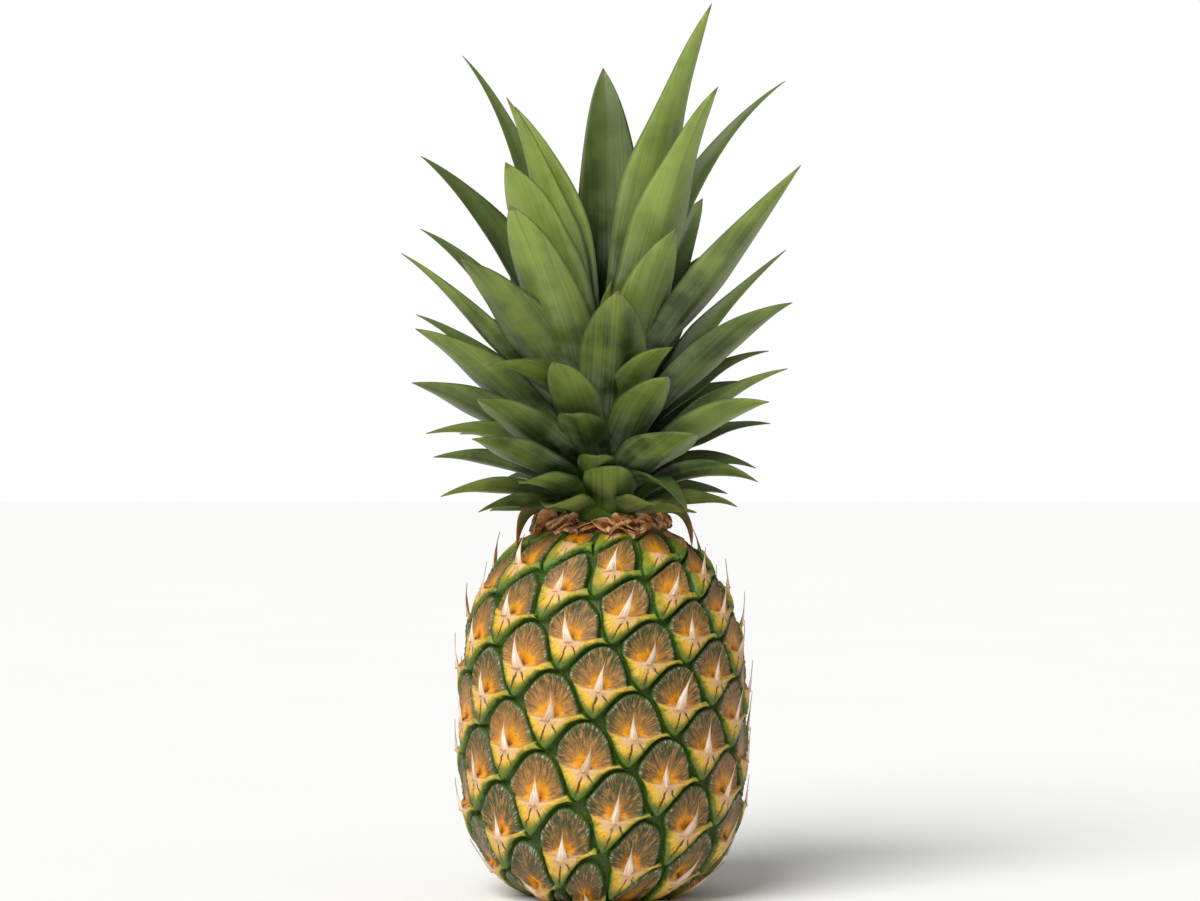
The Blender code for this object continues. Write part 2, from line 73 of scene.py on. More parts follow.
# Rows of eyes: eye number k stands one turn further round and one eye's area further up.
# Towards both ends the rows twist by the cube of the level, counted in eyes.
EYE_TURN = 137.39 * DEG
FIRST_EYE_AZIMUTH = 12.3 * DEG
ROW_TWIST = 0.000171 * DEG
EYE_ZERO_AREA = 28400.0 * MM**2
EYE_AREA = 565.0 * MM**2
EYE_AREA_SHRINK = 1.13 * MM**2
ROW_LEAN = 59.0 * MM**2
FLAT_ROW, STEEP_ROW = 8, -13
LOWEST_EYE, HIGHEST_EYE = -80, 86
# Grooves bow outwards by these shares of an eye's side, and swing out by the last share
# near the eye's top and back in beside its wings
FLAT_BOW, STEEP_BOW, GROOVE_SWING = 0.03, 0.10, 0.14
# Height below the neck over which the relief fades out
NECK_FADE = 6.0 * MM
EYE_SEED = 4
# Side of an eye's square on the skin, and the star's middle below the eye's own middle
EYE_SIDE = 24.0 * MM
STAR_DROP = 0.16
# Steps across and up to the next eye along either row, at the widest ring, and how much
# an eye's drawing follows its square where that is sheared, towards the fruit's ends
FLAT_STEP, STEEP_STEP = (21.5, 11.0), (13.6, -19.7)
SHEAR_SHARE = 0.6
# Least radial part of the skin's normal that an eye's drawing is stretched by
LEAST_OUT = 0.35
# Disc: an arch of this half width, round from this height over the star upwards. A draw
# varies its width, waves round its middle make it uneven, and a rim goes past it.
DISC_HALF_WIDTH, DISC_SHOULDER, DISC_MIDDLE = 11.8 * MM, 5.5 * MM, 4.0 * MM
DISC_WIDTH_SHARE = (0.95, 0.1)
DISC_WAVES, DISC_RIM = 0.35 * MM, 1.2 * MM
# Line of the wings: its height beside the spike, the distance across at which it has
# climbed by the drawn share of a millimetre, the power of that climb, and its drawn lean
WING_FOOT, WING_REACH, WING_POWER = 0.2 * MM, 7.8 * MM, 2.4
WING_CLIMB, WING_LEAN = (0.4, 0.3), (0.02, 0.08)
# How much the skin's grid steps are drawn together near the grooves
GRID_CROWDING = 0.35

# Relief of an eye, in millimetres and radians. Disc: a dish, a rim this far inside its
# line, and two trains of ridges round the star's middle, which are higher on the rim
DISH_DEPTH, DISH_WIDTH = 0.8, 6.0
RIM_HEIGHT, RIM_PLACE, RIM_WIDTH = 0.9, 2.2, 1.3
RIDGES, RIDGE_HEIGHT, RIM_RIDGE_HEIGHT = (34.0, 57.0), 0.04, 0.09
# Bract: a ledge, two trains of ribs, a crack either side of the lowest lobe, arms under
# the wings, a keel to the spike and a belly. A draw turns the cracks.
LEDGE_WIDTH = 0.8
RIBS, RIB_HEIGHT = (15.0, 27.0), 0.12
CRACK_ANGLE, CRACK_TURN, CRACK_WIDTH, CRACK_DEPTH = 0.42, 0.35, 0.45, 0.6
ARM_HEIGHT, ARM_DROP, ARM_LENGTH = 0.4, 1.1, 8.0
KEEL_HEIGHT, KEEL_DROP, KEEL_WIDTH, KEEL_LENGTH = 0.6, 0.6, 2.3, 2.6
BELLY_HEIGHT, BELLY_DROP, BELLY_WIDTH, BELLY_LENGTH = 0.6, 5.0, 9.0, 4.5
DISC_SWELL = 0.5
# Widths of the grooves' sides: along the disc, past the wings' tips and under the bract
DISC_SHORE, TIP_SHORE, BRACT_SHORE = 1.35, 0.75, 1.1

# Spikes: a pair is the least and the added range of a seeded draw
SPIKE_LENGTH = (8.6 * MM, 4.6 * MM)
SPIKE_STAND_OFF = (0.29, 0.18)
SPIKE_SPREAD = 0.30
SPIKE_SKIN_SHARE = 0.6
SPIKE_SEED = 11
SPIKE_LOWEST, SPIKE_HIGHEST = 2.5 * MM, 143.0 * MM
# Below about this height a spike is bent up, so that none goes through the ground
GROUND_GAP = 0.6 * MM
# The finer spike's foot lies lower in the eye, by a share of its square, and is lifted.
# Bow and sway are shares of the length; half widths are in millimetres.
SPIKE_FOOT, SPIKE_ROOT_LIFT = 0.25, 1.7 * MM
SPIKE_STRETCH = 1.05
SPIKE_BOW, SPIKE_SWAY, SPIKE_TWIST = (0.02, 0.10), 0.16, 1.8
SPIKE_SIZE = (0.8, 0.4)
SPIKE_BODY, SPIKE_NEEDLE, SPIKE_POINT, SPIKE_FLARE = 1.3, 0.6, 0.12, 1.4
SPIKE_FOLD = 0.5
SPIKE_STATIONS, SPIKE_STEPS = 20, 7

# Crown: stem, blade and leaves
STEM_TOP = 220.0 * MM
STEM_FOOT_RADIUS, STEM_TOP_RADIUS = 20.0 * MM, 6.0 * MM
STEM_SINK, STEM_END_RADIUS, STEM_WAVES = 1.0 * MM, 0.2 * MM, 0.03
BLADE_MIDDLE, BLADE_EDGE, BLADE_THINNING = 1.9 * MM, 0.8 * MM, 0.7
CHANNEL_DEPTH, CHANNEL_FADE = 0.55, 0.25
ROOT_SINK = 2.5 * MM
ROOT_TURN, ROOT_TURN_RATE = 7.0 * DEG, 2.4
ROOT_WIDTH, WIDEST_PLACE = 0.62, 0.52
SLIM_TAPER, TAPER_CHANGE = 2.9, 0.26
LEAST_TAPER, MOST_TAPER = 1.15, 2.3
LEAF_ROLL = 36.0 * DEG
# Leaves longer than this many widths are slimmer towards the tip, fully so past the
# added range, by a drawn share of their width
SLIM_FROM, SLIM_RANGE, SLIM_SHARE = 2.5, 3.0, (0.10, 0.16)
# Sideways sway and inward hook, as shares of the length, and waves of the margins
LEAF_SWAY, LEAF_HOOK, MARGIN_WAVE = 0.02, 0.30, 0.05
LEAST_HALF_WIDTH = 0.12 * MM
# Root height from which a leaf's rank counts, and the range over which it grows to 1
RANK_FROM, RANK_RANGE = 160.0 * MM, 55.0 * MM
LEAF_SEED = 9

# Leaves seen from the front, in millimetres and degrees:
# tip across, tip depth (front is negative), tip height, width, root height, arch
FRONT_LEAVES = (
    # Tall leaves of the heart
    (45, -18, 372, 28, 214, 10),
    (47, -34, 336, 27, 210, 8),
    (0, 18, 349, 28, 214, 5),
    (-40, -20, 333, 22, 212, 9),
    (-37, 0, 331, 24, 213, 14),
    (-40, -36, 305, 28, 212, 4),
    (-60, 26, 355, 16, 212, 12),
    (-38, -48, 287, 27, 196, 4),
    (77, 14, 343, 16, 214, 17),
    (43, 40, 295, 21, 206, 2),
    # Upper ring
    (-77, 10, 311, 24, 206, 13),
    (-78, 24, 281, 17, 198, 14),
    (-84, -12, 269, 14, 192, 4),
    (-58, -40, 265, 27, 194, 10),
    (81, -34, 304, 21, 208, 3),
    (30, -36, 278, 25, 204, 9),
    (6, -50, 252, 28, 190, 8),
    (78, 22, 272, 12, 192, 10),
    # Middle ring
    (-79, 8, 244, 15, 188, 7),
    (-77, -34, 237, 22, 182, 7),
    (-79, -24, 215, 21, 180, 10),
    (-47, -52, 222, 21, 190, 45),
    (-51, -54, 208, 23, 180, 4),
    (78, -26, 248, 21, 190, 11),
    (71, 28, 229, 13, 184, 18),
    (77, -8, 221, 13, 178, 14),
    (28, -54, 229, 17, 190, 30),
    (26, -62, 217, 21, 180, 18),
    (-20, -60, 223, 21, 184, 12),
    # Lower ring
    (68, -36, 207, 19, 176, 12),
    (71, 14, 198, 12, 174, 21),
    (-73, -26, 194, 14, 176, 28),
    (-53, -56, 192, 20, 172, 4),
    (-13, -60, 202, 20, 178, 20),
    (37, -58, 194, 27, 172, 8),
    (65, 18, 179, 12, 171, 31),
    (64, -20, 174, 14, 167, 31),
    (-71, -6, 184, 13, 170, 18),
    (-67, -26, 168, 13, 166, 16),
    # Skirt, close above the collar
    (-3, -54, 185, 16, 168, 18),
    (2, -42, 181, 22, 162, 12),
    (-34, -50, 174, 19, 166, 20),
    (34, -54, 163, 15, 168, 50),
    (-51, -38, 162, 14, 162, 16),
    (-48, 12, 161, 11, 162, 10),
    (55, -32, 164, 13, 163, 12),
    (38, -44, 162, 12, 162, 8),
    (-23, -46, 164, 19, 162, 14),
    (21, -46, 165, 18, 162, 14),
)

# Rows of that table whose leaves end bluntly, and how much blunter they taper
BLUNT_ROWS, BLUNT_TAPER = [2, 5, 7, 9], 1.0

# Leaves of the far side, by rank from 0 at the skirt to 1 at the heart
REAR_LEAVES = 32
REAR_AZIMUTH = (118.0 * DEG, 124.0 * DEG)
REAR_REACH, REAR_SWELL, REAR_CLOSING = 56.0 * MM, 30.0 * MM, 16.0 * MM
REAR_REACH_SHARE = (0.92, 0.16)
REAR_HEIGHT, REAR_HEIGHT_POWER, REAR_HEIGHT_DRAW = (162.0 * MM, 130.0 * MM), 1.15, 6.0 * MM
REAR_WIDTH, REAR_WIDTH_POWER = (12.0 * MM, 12.0 * MM), 0.8
REAR_ROOT = (162.0 * MM, 44.0 * MM)
REAR_ARCH = (26.0 * DEG, -18.0 * DEG)
REAR_SEED = 5

# Young leaves that close the heart over the stem's end, by rank from 0 outside to 1 inside
HEART_LEAVES, HEART_AZIMUTH = 9, 0.8
HEART_REACH, HEART_HEIGHT = (26.0 * MM, -18.0 * MM), (262.0 * MM, -8.0 * MM)
HEART_WIDTH, HEART_ROOT, HEART_ARCH = (15.0 * MM, -6.0 * MM), (208.0 * MM, 10.0 * MM), 4.0 * DEG

# Wilted leaves that hang over the shoulder, in the columns of the front leaves
WILTED_STATIONS, WILTED_STEPS, WILTED_BEND = 24, 11, 1.0
WILTED_LEAVES = (
    (-36, -13, 147, 12, 157, 66),
    (37, -12, 147, 10, 157, 60),
    (-20, 33, 150, 9, 157, 60),
)

# Dry collar's bed: a low bumpy ring, whose outer part falls away with the shoulder from
# this distance from the axis
BED_RADIUS, BED_WIDTH, BED_HEIGHT, BED_LIFT = 22.0 * MM, 4.6 * MM, 2.4 * MM, 0.6 * MM
BED_DROP, BED_DROP_FROM, BED_DROP_RANGE = 2.2 * MM, 24.0 * MM, 7.0 * MM
BED_BUMPS = 0.16

# Crumpled flaps, upright against the crown or lying over the shoulder. A pair is the
# least and the added range of a seeded draw.
FLAPS = 44
FLAP_STATIONS, FLAP_STEPS = 14, 11
UPRIGHT_REACH, UPRIGHT_HEIGHT = (23.0 * MM, 4.5 * MM), (155.0 * MM, 6.0 * MM)
LYING_REACH, LYING_LIFT = (26.5 * MM, 4.5 * MM), (1.2 * MM, 2.6 * MM)
UPRIGHT_ARCH, LYING_ARCH = (10.0 * DEG, 20.0 * DEG), (25.0 * DEG, 35.0 * DEG)
FLAP_ROOT_REACH, FLAP_ROOT_HEIGHT = (19.0 * MM, 3.0 * MM), (153.8 * MM, 1.5 * MM)
FLAP_WIDTH = (12.0 * MM, 9.0 * MM)
FLAP_CRUMPLE, FLAP_TEAR, FLAP_THICKNESS = 1.1 * MM, 0.10, 0.35
COLLAR_SEED = 3

# Stage: half the floor's side, where the soft lamp's light goes, and the camera's sensor
FLOOR_HALF = 6.0
KEY_DIRECTION = (0.45, 0.62, -0.75)
SENSOR_WIDTH = 36.0

MATH = "ShaderNodeMath"
VECTOR_MATH = "ShaderNodeVectorMath"
MAP = "ShaderNodeMapRange"
MIX = "ShaderNodeMix"
NOISE = "ShaderNodeTexNoise"
ATTRIBUTE = "ShaderNodeAttribute"
OBJECT_PLACE = "ShaderNodeTexCoord"
SPLIT = "ShaderNodeSeparateXYZ"
JOIN = "ShaderNodeCombineXYZ"
RAMP = "ShaderNodeValToRGB"
BUMP = "ShaderNodeBump"
SOFT = {"interpolation_type": "SMOOTHSTEP"}
TIMES = {"operation": "MULTIPLY"}
PLUS = {"operation": "ADD"}
TIMES_PLUS = {"operation": "MULTIPLY_ADD"}


def linear(hex_colour):
    """Linear light, with full alpha, of an sRGB colour written as #rrggbb."""
    values = np.array([int(hex_colour[k:k + 2], 16) for k in (1, 3, 5)]) / 255.0
    bright = ((values + 0.055) / 1.055) ** 2.4
    return (*np.where(values <= 0.04045, values / 12.92, bright).tolist(), 1.0)


def colour_property(name, hex_colour, description):
    """A colour that the user may change, with its default from an sRGB hex value."""
    return FloatVectorProperty(
        name=name, description=description, subtype="COLOR", size=4, min=0.0, max=1.0,
        default=linear(hex_colour))


def length_property(name, millimetres, description):
    """A length that the user may change, with its default in millimetres."""
    return FloatProperty(
        name=name, description=description, unit="LENGTH", min=0.0, default=millimetres * MM)


class PineappleFruit(bpy.types.PropertyGroup):
    """Sizes and colours of the fruit's skin and spikes."""

    steps: IntProperty(
        name="Steps per eye", description="Grid steps along each side of an eye",
        default=30, min=8, max=30)
    groove_depth: length_property("Groove depth", 2.2, "Depth of the grooves between eyes")
    bract_rise: length_property("Bract rise", 1.5, "Height of the winged bract over the disc")
    groove: colour_property("Groove", "#304a02", "Green of the grooves between the eyes")
    grey: colour_property("Disc rim", "#74592e", "Grey-brown of the disc near its rim")
    orange: colour_property("Disc middle", "#e89606", "Orange beside the spike")
    yellow: colour_property("Bract", "#e8b21e", "Yellow of the winged bract")
    tan: colour_property("Bract middle", "#d9ab80", "Dry tan where the spike grows")
    leafy: colour_property("Bract margin", "#4f6c1c", "Green of the bract's margins")
    cream: colour_property("Spike", "#f2e2cc", "Pale dry spike")


class PineappleCrown(bpy.types.PropertyGroup):
    """Sizes and colours of the crown."""

    stations: IntProperty(
        name="Steps along", description="Steps along each leaf", default=36, min=8, max=60)
    across: IntProperty(
        name="Steps across", description="Steps across each leaf", default=13, min=5, max=21)
    light: colour_property("Light green", "#90a346", "Green of the leaves in the light")
    dark: colour_property("Dark green", "#2a3c13", "Dark green of the leaves")
    bloom: colour_property("Bloom", "#8a9776", "Whitish wax near the leaves' roots")
    lime: colour_property("Root green", "#67861a", "Fresh green at the leaves' roots")
    tip: colour_property("Dry tip", "#6d5a34", "Dry tips of the leaves")


class PineappleCollar(bpy.types.PropertyGroup):
    """Colours of the dry collar."""

    brown: colour_property("Brown", "#bf7b42", "Orange-brown of the dry leaves")
    # Dark brown laid in patches over the flaps as painted shade, for the dark gaps between them
    shade: colour_property("Dark brown", "#6a4422", "Dark brown of their folds")
    pale: colour_property("Pale edge", "#e2b07c", "Bleached edges")


class PineappleStage(bpy.types.PropertyGroup):
    """Camera, lamps and floor."""

    distance: FloatProperty(
        name="Camera distance", description="From the fruit's axis", unit="LENGTH", default=1.4)
    lens: FloatProperty(name="Lens", description="Focal length in millimetres", default=100.0)
    elevation: FloatProperty(
        name="Elevation", description="Camera angle over the horizon", subtype="ANGLE",
        default=0.7 * DEG)
    aim_across: FloatProperty(
        name="Aim across", description="Where the camera looks, along X", unit="LENGTH",
        default=-1.3 * MM)
    aim_height: length_property("Aim height", 186.7, "Height that the camera looks at")
    key: FloatProperty(name="Key lamp", description="Strength of the large soft lamp", default=3.3)
    softness: FloatProperty(
        name="Softness", description="Angle that the soft lamp fills", subtype="ANGLE",
        default=40.0 * DEG)
    ambient: FloatProperty(
        name="Ambient", description="Light that comes from all around", default=0.33, min=0.0)
    floor: colour_property("Floor", "#fafaf9", "Pale floor")


# Nodes


def add(tree, kind, inputs=(), output=0, stops=(), **settings):
    """Adds a shader node with its settings, and returns one of its outputs.

    Inputs are given in order or by socket; each is a value or another node's output.
    Stops are a colour ramp's places and colours.
    """
    node = tree.nodes.new(kind)
    for name, value in settings.items():
        setattr(node, name, value)
    pairs = inputs.items() if isinstance(inputs, dict) else enumerate(inputs)
    for key, value in pairs:
        if isinstance(value, bpy.types.NodeSocket):
            tree.links.new(value, node.inputs[key])
        elif value is not None:
            node.inputs[key].default_value = value
    for number, (place, colour) in enumerate(stops):
        elements = node.color_ramp.elements
        stop = elements[number] if number < 2 else elements.new(place)
        stop.position = place
        stop.color = colour
    return node.outputs[output]


def new_material(name):
    """A material with its node tree and its Principled shader."""
    material = bpy.data.materials.new(name)
    material.use_nodes = True
    tree = material.node_tree
    return material, tree, tree.nodes["Principled BSDF"]


# Mesh building


def drawn(least_and_range, draw):
    """A value from its least and its added range, by a draw from 0 to 1."""
    return least_and_range[0] + least_and_range[1] * draw


def smooth_step(value):
    """Eases from 0 to 1 as the value goes from 0 to 1, and is flat outside."""
    value = np.clip(value, 0.0, 1.0)
    return value * value * (3.0 - 2.0 * value)


def new_piece(name, mesh, material, slot, *nodes):
    """Puts a finished mesh in the scene, on the object's one body and for its CAD nodes."""
    mesh.materials.append(material)
    mesh.shade_smooth()
    piece = bpy.data.objects.new(name, mesh)
    bpy.context.scene.collection.objects.link(piece)
    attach(piece, "root")
    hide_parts(*nodes)


def new_mesh(name, points, faces):
    """Makes a mesh from an array of points and an array or list of faces."""
    mesh = bpy.data.meshes.new(name)
    mesh.from_pydata(np.asarray(points).reshape(-1, 3).tolist(), [], faces)
    mesh.update()
    return mesh


def set_attribute(mesh, name, domain, vectors):
    """Stores an array of three-number values on the mesh's points, faces or corners."""
    layer = mesh.attributes.new(name, "FLOAT_VECTOR", domain)
    layer.data.foreach_set("vector", np.ascontiguousarray(vectors, dtype=np.float32).ravel())


def closed_blades(name, outer, inner, marks):
    """A closed skin round each of many blades.

    Outer and inner are arrays over blade, station along, step across, and x y z.
    Each station's ring runs over the outer face and back over the inner one. Rings
    are joined by quads, and the first and the last are capped. Marks are attributes
    with one value for each point of a face, or a pair of such arrays.
    """
    blades, stations, steps = outer.shape[:3]
    rings = np.concatenate([outer, inner[:, :, ::-1]], axis=2)
    around = 2 * steps
    blade, station, side = np.meshgrid(
        np.arange(blades), np.arange(stations - 1), np.arange(around), indexing="ij")
    low = (blade * stations + station) * around
    following = (side + 1) % around
    quads = np.stack([
        low + side, low + following, low + around + following, low + around + side], -1)
    starts = np.arange(blades)[:, None] * stations * around
    first_caps = starts + np.arange(around)[::-1]
    last_caps = starts + (stations - 1) * around + np.arange(around)
    faces = quads.reshape(-1, 4).tolist() + first_caps.tolist() + last_caps.tolist()
    mesh = new_mesh(name, rings, faces)
    for mark, pair in marks.items():
        outer_marks, inner_marks = (
            np.broadcast_to(values, (blades, stations, steps, 3)) for values in pair)
        set_attribute(
            mesh, mark, "POINT", np.concatenate([outer_marks, inner_marks[:, :, ::-1]], axis=2))
    return mesh


# Fruit skin


def barrel_radius(height):
    """Radius of the smooth barrel: full at the widest ring, rounded to each end."""
    below = np.clip((WIDEST_HEIGHT - height) / LOWER_REACH, 0.0, 1.0) ** LOWER_SQUARENESS
    above = np.clip((height - WIDEST_HEIGHT) / UPPER_REACH, 0.0, 1.0) ** UPPER_SQUARENESS
    return FRUIT_RADIUS * np.sqrt(1.0 - np.maximum(below, above))


def meridian():
    """Heights and radii up the barrel, with the skin's area counted from the base."""
    heights = np.arange(MERIDIAN_BOTTOM, MERIDIAN_TOP, MERIDIAN_STEP)
    radii = barrel_radius(np.clip(heights, 0.0, NECK_HEIGHT))
    slant = np.hypot(np.diff(heights), np.diff(radii))
    bands = math.pi * (radii[1:] + radii[:-1]) * slant
    areas = np.concatenate([[0.0], np.cumsum(bands)])
    areas -= np.interp(0.0, heights, areas)
    return heights, radii, areas


def skin_frame(eye, flat, steep):
    """Where a place in an eye's square lies on the smooth barrel.

    The eye's number with the steps along the flat and the steep row is its level,
    which gives the skin's area below it, hence its height. Each step turns it round
    the axis. Returns azimuth, height, radius and the normal's radial and upward parts.
    """
    heights, radii, areas = meridian()
    flat_turn = FLAT_ROW * EYE_TURN - 3.0 * FULL_TURN
    steep_turn = STEEP_ROW * EYE_TURN + 5.0 * FULL_TURN
    level = eye + FLAT_ROW * flat + STEEP_ROW * steep
    azimuth = FIRST_EYE_AZIMUTH + eye * EYE_TURN + flat * flat_turn + steep * steep_turn
    azimuth = azimuth + ROW_TWIST * level**3
    area = EYE_ZERO_AREA + EYE_AREA * level - EYE_AREA_SHRINK * level**2
    area -= ROW_LEAN * level * np.sin(azimuth)
    height = np.interp(area, areas, heights)
    radius = np.interp(height, heights, radii)
    slope = np.interp(height, heights, np.gradient(radii, heights))
    length = np.sqrt(1.0 + slope**2)
    return azimuth, height, radius, 1.0 / length, -slope / length


def bows(flat, steep):
    """How far the flat and the steep grooves of an eye lie outside its square's sides."""
    flat_bow = (1.0 - 4.0 * steep**2) * (FLAT_BOW - 2.0 * GROOVE_SWING * steep)
    steep_bow = (1.0 - 4.0 * flat**2) * (STEEP_BOW + 2.0 * GROOVE_SWING * flat)
    return flat_bow, steep_bow


def bulged(flat, steep):
    """Makes an eye's square an arch over a shield, by the bows of its four grooves."""
    flat_bow, steep_bow = bows(flat, steep)
    return flat + 4.0 * flat**2 * flat_bow, steep - 4.0 * steep**2 * steep_bow


def place_on_skin(azimuth, height, radius, out, rise, lift):
    """Points at a height along the normal over the barrel."""
    reach = radius + lift * out
    return np.stack([reach * np.sin(azimuth), -reach * np.cos(azimuth), height + lift * rise], -1)


def eye_fields(eye, flat, steep, draw):
    """The skin under a place in an eye, and where the place lies in the eye's drawing.

    The drawing is round the star's middle, in millimetres of an eye at the widest
    ring, and is stretched with the eye towards the fruit's ends. It holds: across
    and up along the skin, how far the place is from the upper grooves, from the
    lower ones and below the line of the wings, and how far it is inside the disc's
    rim or the upper grooves. The line of the wings is lowest beside the spike,
    climbs with a power of the distance from it, and leans a little. The draws vary
    its climb and lean, and the disc's arch.
    """
    moved_flat, moved_steep = bulged(flat, steep)
    skin = skin_frame(eye, moved_flat, moved_steep)
    star = skin_frame(eye, -0.5 * STAR_DROP, 0.5 * STAR_DROP)
    size = np.sqrt(EYE_AREA / (EYE_AREA - 2.0 * EYE_AREA_SHRINK * eye)) / MM
    upright_across = (skin[0] - star[0]) * FRUIT_RADIUS * size
    upright_up = (skin[1] - star[1]) / np.maximum(star[3], LEAST_OUT)
    upright_up = upright_up * star[2] / FRUIT_RADIUS * size
    steps = (moved_flat + 0.5 * STAR_DROP, moved_steep - 0.5 * STAR_DROP)
    across, up = (
        upright + SHEAR_SHARE * (steps[0] * flat_step + steps[1] * steep_step - upright)
        for upright, flat_step, steep_step in zip(
            (upright_across, upright_up), FLAT_STEP, STEEP_STEP))
    flat_bow, steep_bow = bows(flat, steep)
    side = EYE_SIDE / MM
    upper = side * np.minimum(0.5 + flat_bow - moved_flat, moved_steep + 0.5 + steep_bow)
    lower = side * np.minimum(moved_flat + 0.5 - flat_bow, 0.5 - steep_bow - moved_steep)
    width = DISC_HALF_WIDTH / MM * drawn(DISC_WIDTH_SHARE, draw[..., 2])
    shoulder = np.maximum(up - DISC_SHOULDER / MM, 0.0)
    turn = np.arctan2(across, up - DISC_MIDDLE / MM)
    uneven = np.sin(3.0 * turn + 9.0 * draw[..., 0])
    uneven = uneven + 0.7 * np.sin(7.0 * turn + 9.0 * draw[..., 1])
    arch = width - np.hypot(across, shoulder) + DISC_WAVES / MM * uneven
    inside = np.minimum(arch + DISC_RIM / MM, upper)
    climb = drawn(WING_CLIMB, draw[..., 0]) * (np.abs(across) * MM / WING_REACH) ** WING_POWER
    wing = WING_FOOT / MM + climb - drawn(WING_LEAN, draw[..., 1]) * across
    return skin, (across, up, upper, lower, wing - up, inside)


def eye_relief(across, up, upper, lower, below_wing, inside, draw, looks):
    """Height of an eye over the barrel, in metres, from its drawing in millimetres.

    The disc is a dish with fine ridges that run out from the spike, and a raised
    rim. The bract is a ledge under the line of the wings; ribs fan out over it from
    the star's middle, two cracks part its lowest lobe from the others, and a keel
    leads up to the spike. The groove is steeper on the bract's side.
    """
    turn = np.arctan2(across, -up)
    reach = np.hypot(across, up)
    bract = smooth_step(below_wing / LEDGE_WIDTH + 0.5)
    ridges = np.sin(turn * RIDGES[0] + 5.0 * draw[..., 1])
    ridges = ridges + 0.6 * np.sin(turn * RIDGES[1] + 9.0 * draw[..., 2])
    rim = np.exp(-((inside - RIM_PLACE) / RIM_WIDTH) ** 2)
    dish = RIM_HEIGHT * rim - DISH_DEPTH * np.exp(-(reach / DISH_WIDTH) ** 2)
    dish = dish + ridges * (RIDGE_HEIGHT + RIM_RIDGE_HEIGHT * rim)
    ribs = np.sin(turn * RIBS[0] + 7.0 * draw[..., 0])
    ribs = ribs + 0.7 * np.sin(turn * RIBS[1] + 3.0 * draw[..., 2])
    fan = smooth_step((reach - 2.0) / 4.0)
    fork = np.abs(turn - CRACK_TURN * (draw[..., 1] - 0.5)) - CRACK_ANGLE
    crack = np.exp(-(fork * reach / CRACK_WIDTH) ** 2) * smooth_step((reach - 2.5) / 2.0)
    crack *= smooth_step((13.5 - reach) / 3.0)
    arms = np.exp(-(below_wing - ARM_DROP) ** 2 / 1.2) * np.exp(-(across / ARM_LENGTH) ** 2)
    keel = np.exp(-(across / KEEL_WIDTH) ** 2 - ((up + KEEL_DROP) / KEEL_LENGTH) ** 2)
    belly = np.exp(-((up + BELLY_DROP) / BELLY_LENGTH) ** 2 - (across / BELLY_WIDTH) ** 2)
    body = looks.bract_rise / MM + BELLY_HEIGHT * belly + RIB_HEIGHT * ribs * fan
    body = body - CRACK_DEPTH * crack + ARM_HEIGHT * arms + KEEL_HEIGHT * keel
    swell = DISC_SWELL * (draw[..., 2] - 0.5)
    surface = body * bract + (dish + swell) * (1.0 - bract)
    upper_shore = (inside / DISC_SHORE) * (1.0 - bract) + (upper / TIP_SHORE) * bract
    groove = 1.0 - smooth_step(np.minimum(upper_shore, lower / BRACT_SHORE))
    return (surface * (1.0 - groove) - looks.groove_depth / MM * groove) * MM


def make_fruit_mesh(looks):
    """The fruit's skin: a grid over every eye's square, cut flat at base and neck.

    Even steps are drawn together near the grooves, then the bow of the grooves is
    undone, so that the moved steps are even again. A step past the square is the
    first one of the next eye along the row, so the skin has no seams.
    """
    count = looks.steps
    even = np.arange(count + 1) / count - 0.5
    even = even + GRID_CROWDING * np.sin(FULL_TURN * even) / FULL_TURN
    flat_steps, steep_steps = (
        (np.sqrt(1.0 + 16.0 * bow * (even + bow)) - 1.0) / (8.0 * bow)
        for bow in (FLAT_BOW, STEEP_BOW))
    eyes = np.arange(LOWEST_EYE, HIGHEST_EYE + 1)
    draws = np.random.default_rng(EYE_SEED).random((len(eyes), 3))
    eye, flat, steep = np.meshgrid(eyes, flat_steps, -steep_steps[::-1], indexing="ij")
    draw = draws[eye - LOWEST_EYE]
    (azimuth, height, radius, out, rise), fields = eye_fields(eye, flat, steep, draw)
    lift = eye_relief(*fields, draw, looks)
    lift = lift * smooth_step((NECK_HEIGHT - height) / NECK_FADE)
    points = place_on_skin(azimuth, height, radius, out, rise, lift)[:, :count, :count]
    points = points.reshape(-1, 3)
    drawing = np.stack(fields, -1)

    numbers = np.arange(LOWEST_EYE - STEEP_ROW, HIGHEST_EYE - FLAT_ROW + 1)
    number, row, column = np.meshgrid(numbers, np.arange(count), np.arange(count), indexing="ij")
    corners, places = [], []
    for row_step, column_step in ((0, 0), (0, 1), (1, 1), (1, 0)):
        next_row, next_column = row + row_step, column + column_step
        owner = number + FLAT_ROW * (next_row // count) + STEEP_ROW * (next_column // count)
        corners.append(
            ((owner - LOWEST_EYE) * count + next_row % count) * count + next_column % count)
        places.append(drawing[number - LOWEST_EYE, next_row, next_column])
    quads = np.stack(corners, -1).reshape(-1, 4)
    heights = points[:, 2][quads]
    kept = (heights.max(axis=1) > -1.0 * MM) & (heights.min(axis=1) < NECK_HEIGHT + 1.0 * MM)
    used, quads = np.unique(quads[kept], return_inverse=True)
    mesh = new_mesh("fruit_skin", points[used], quads.reshape(-1, 4).tolist())
    places = np.stack(places, 3).reshape(-1, 4, 6)[kept].reshape(-1, 6)
    set_attribute(mesh, "eye_place", "CORNER", places[:, :3])
    set_attribute(mesh, "eye_edge", "CORNER", places[:, 3:])
    set_attribute(mesh, "eye_draw", "FACE", draws[number.ravel()[kept] - LOWEST_EYE])
    cut_flat(mesh, 0.0, -1.0, 1)
    cut_flat(mesh, NECK_HEIGHT, 1.0, 1)
    return mesh


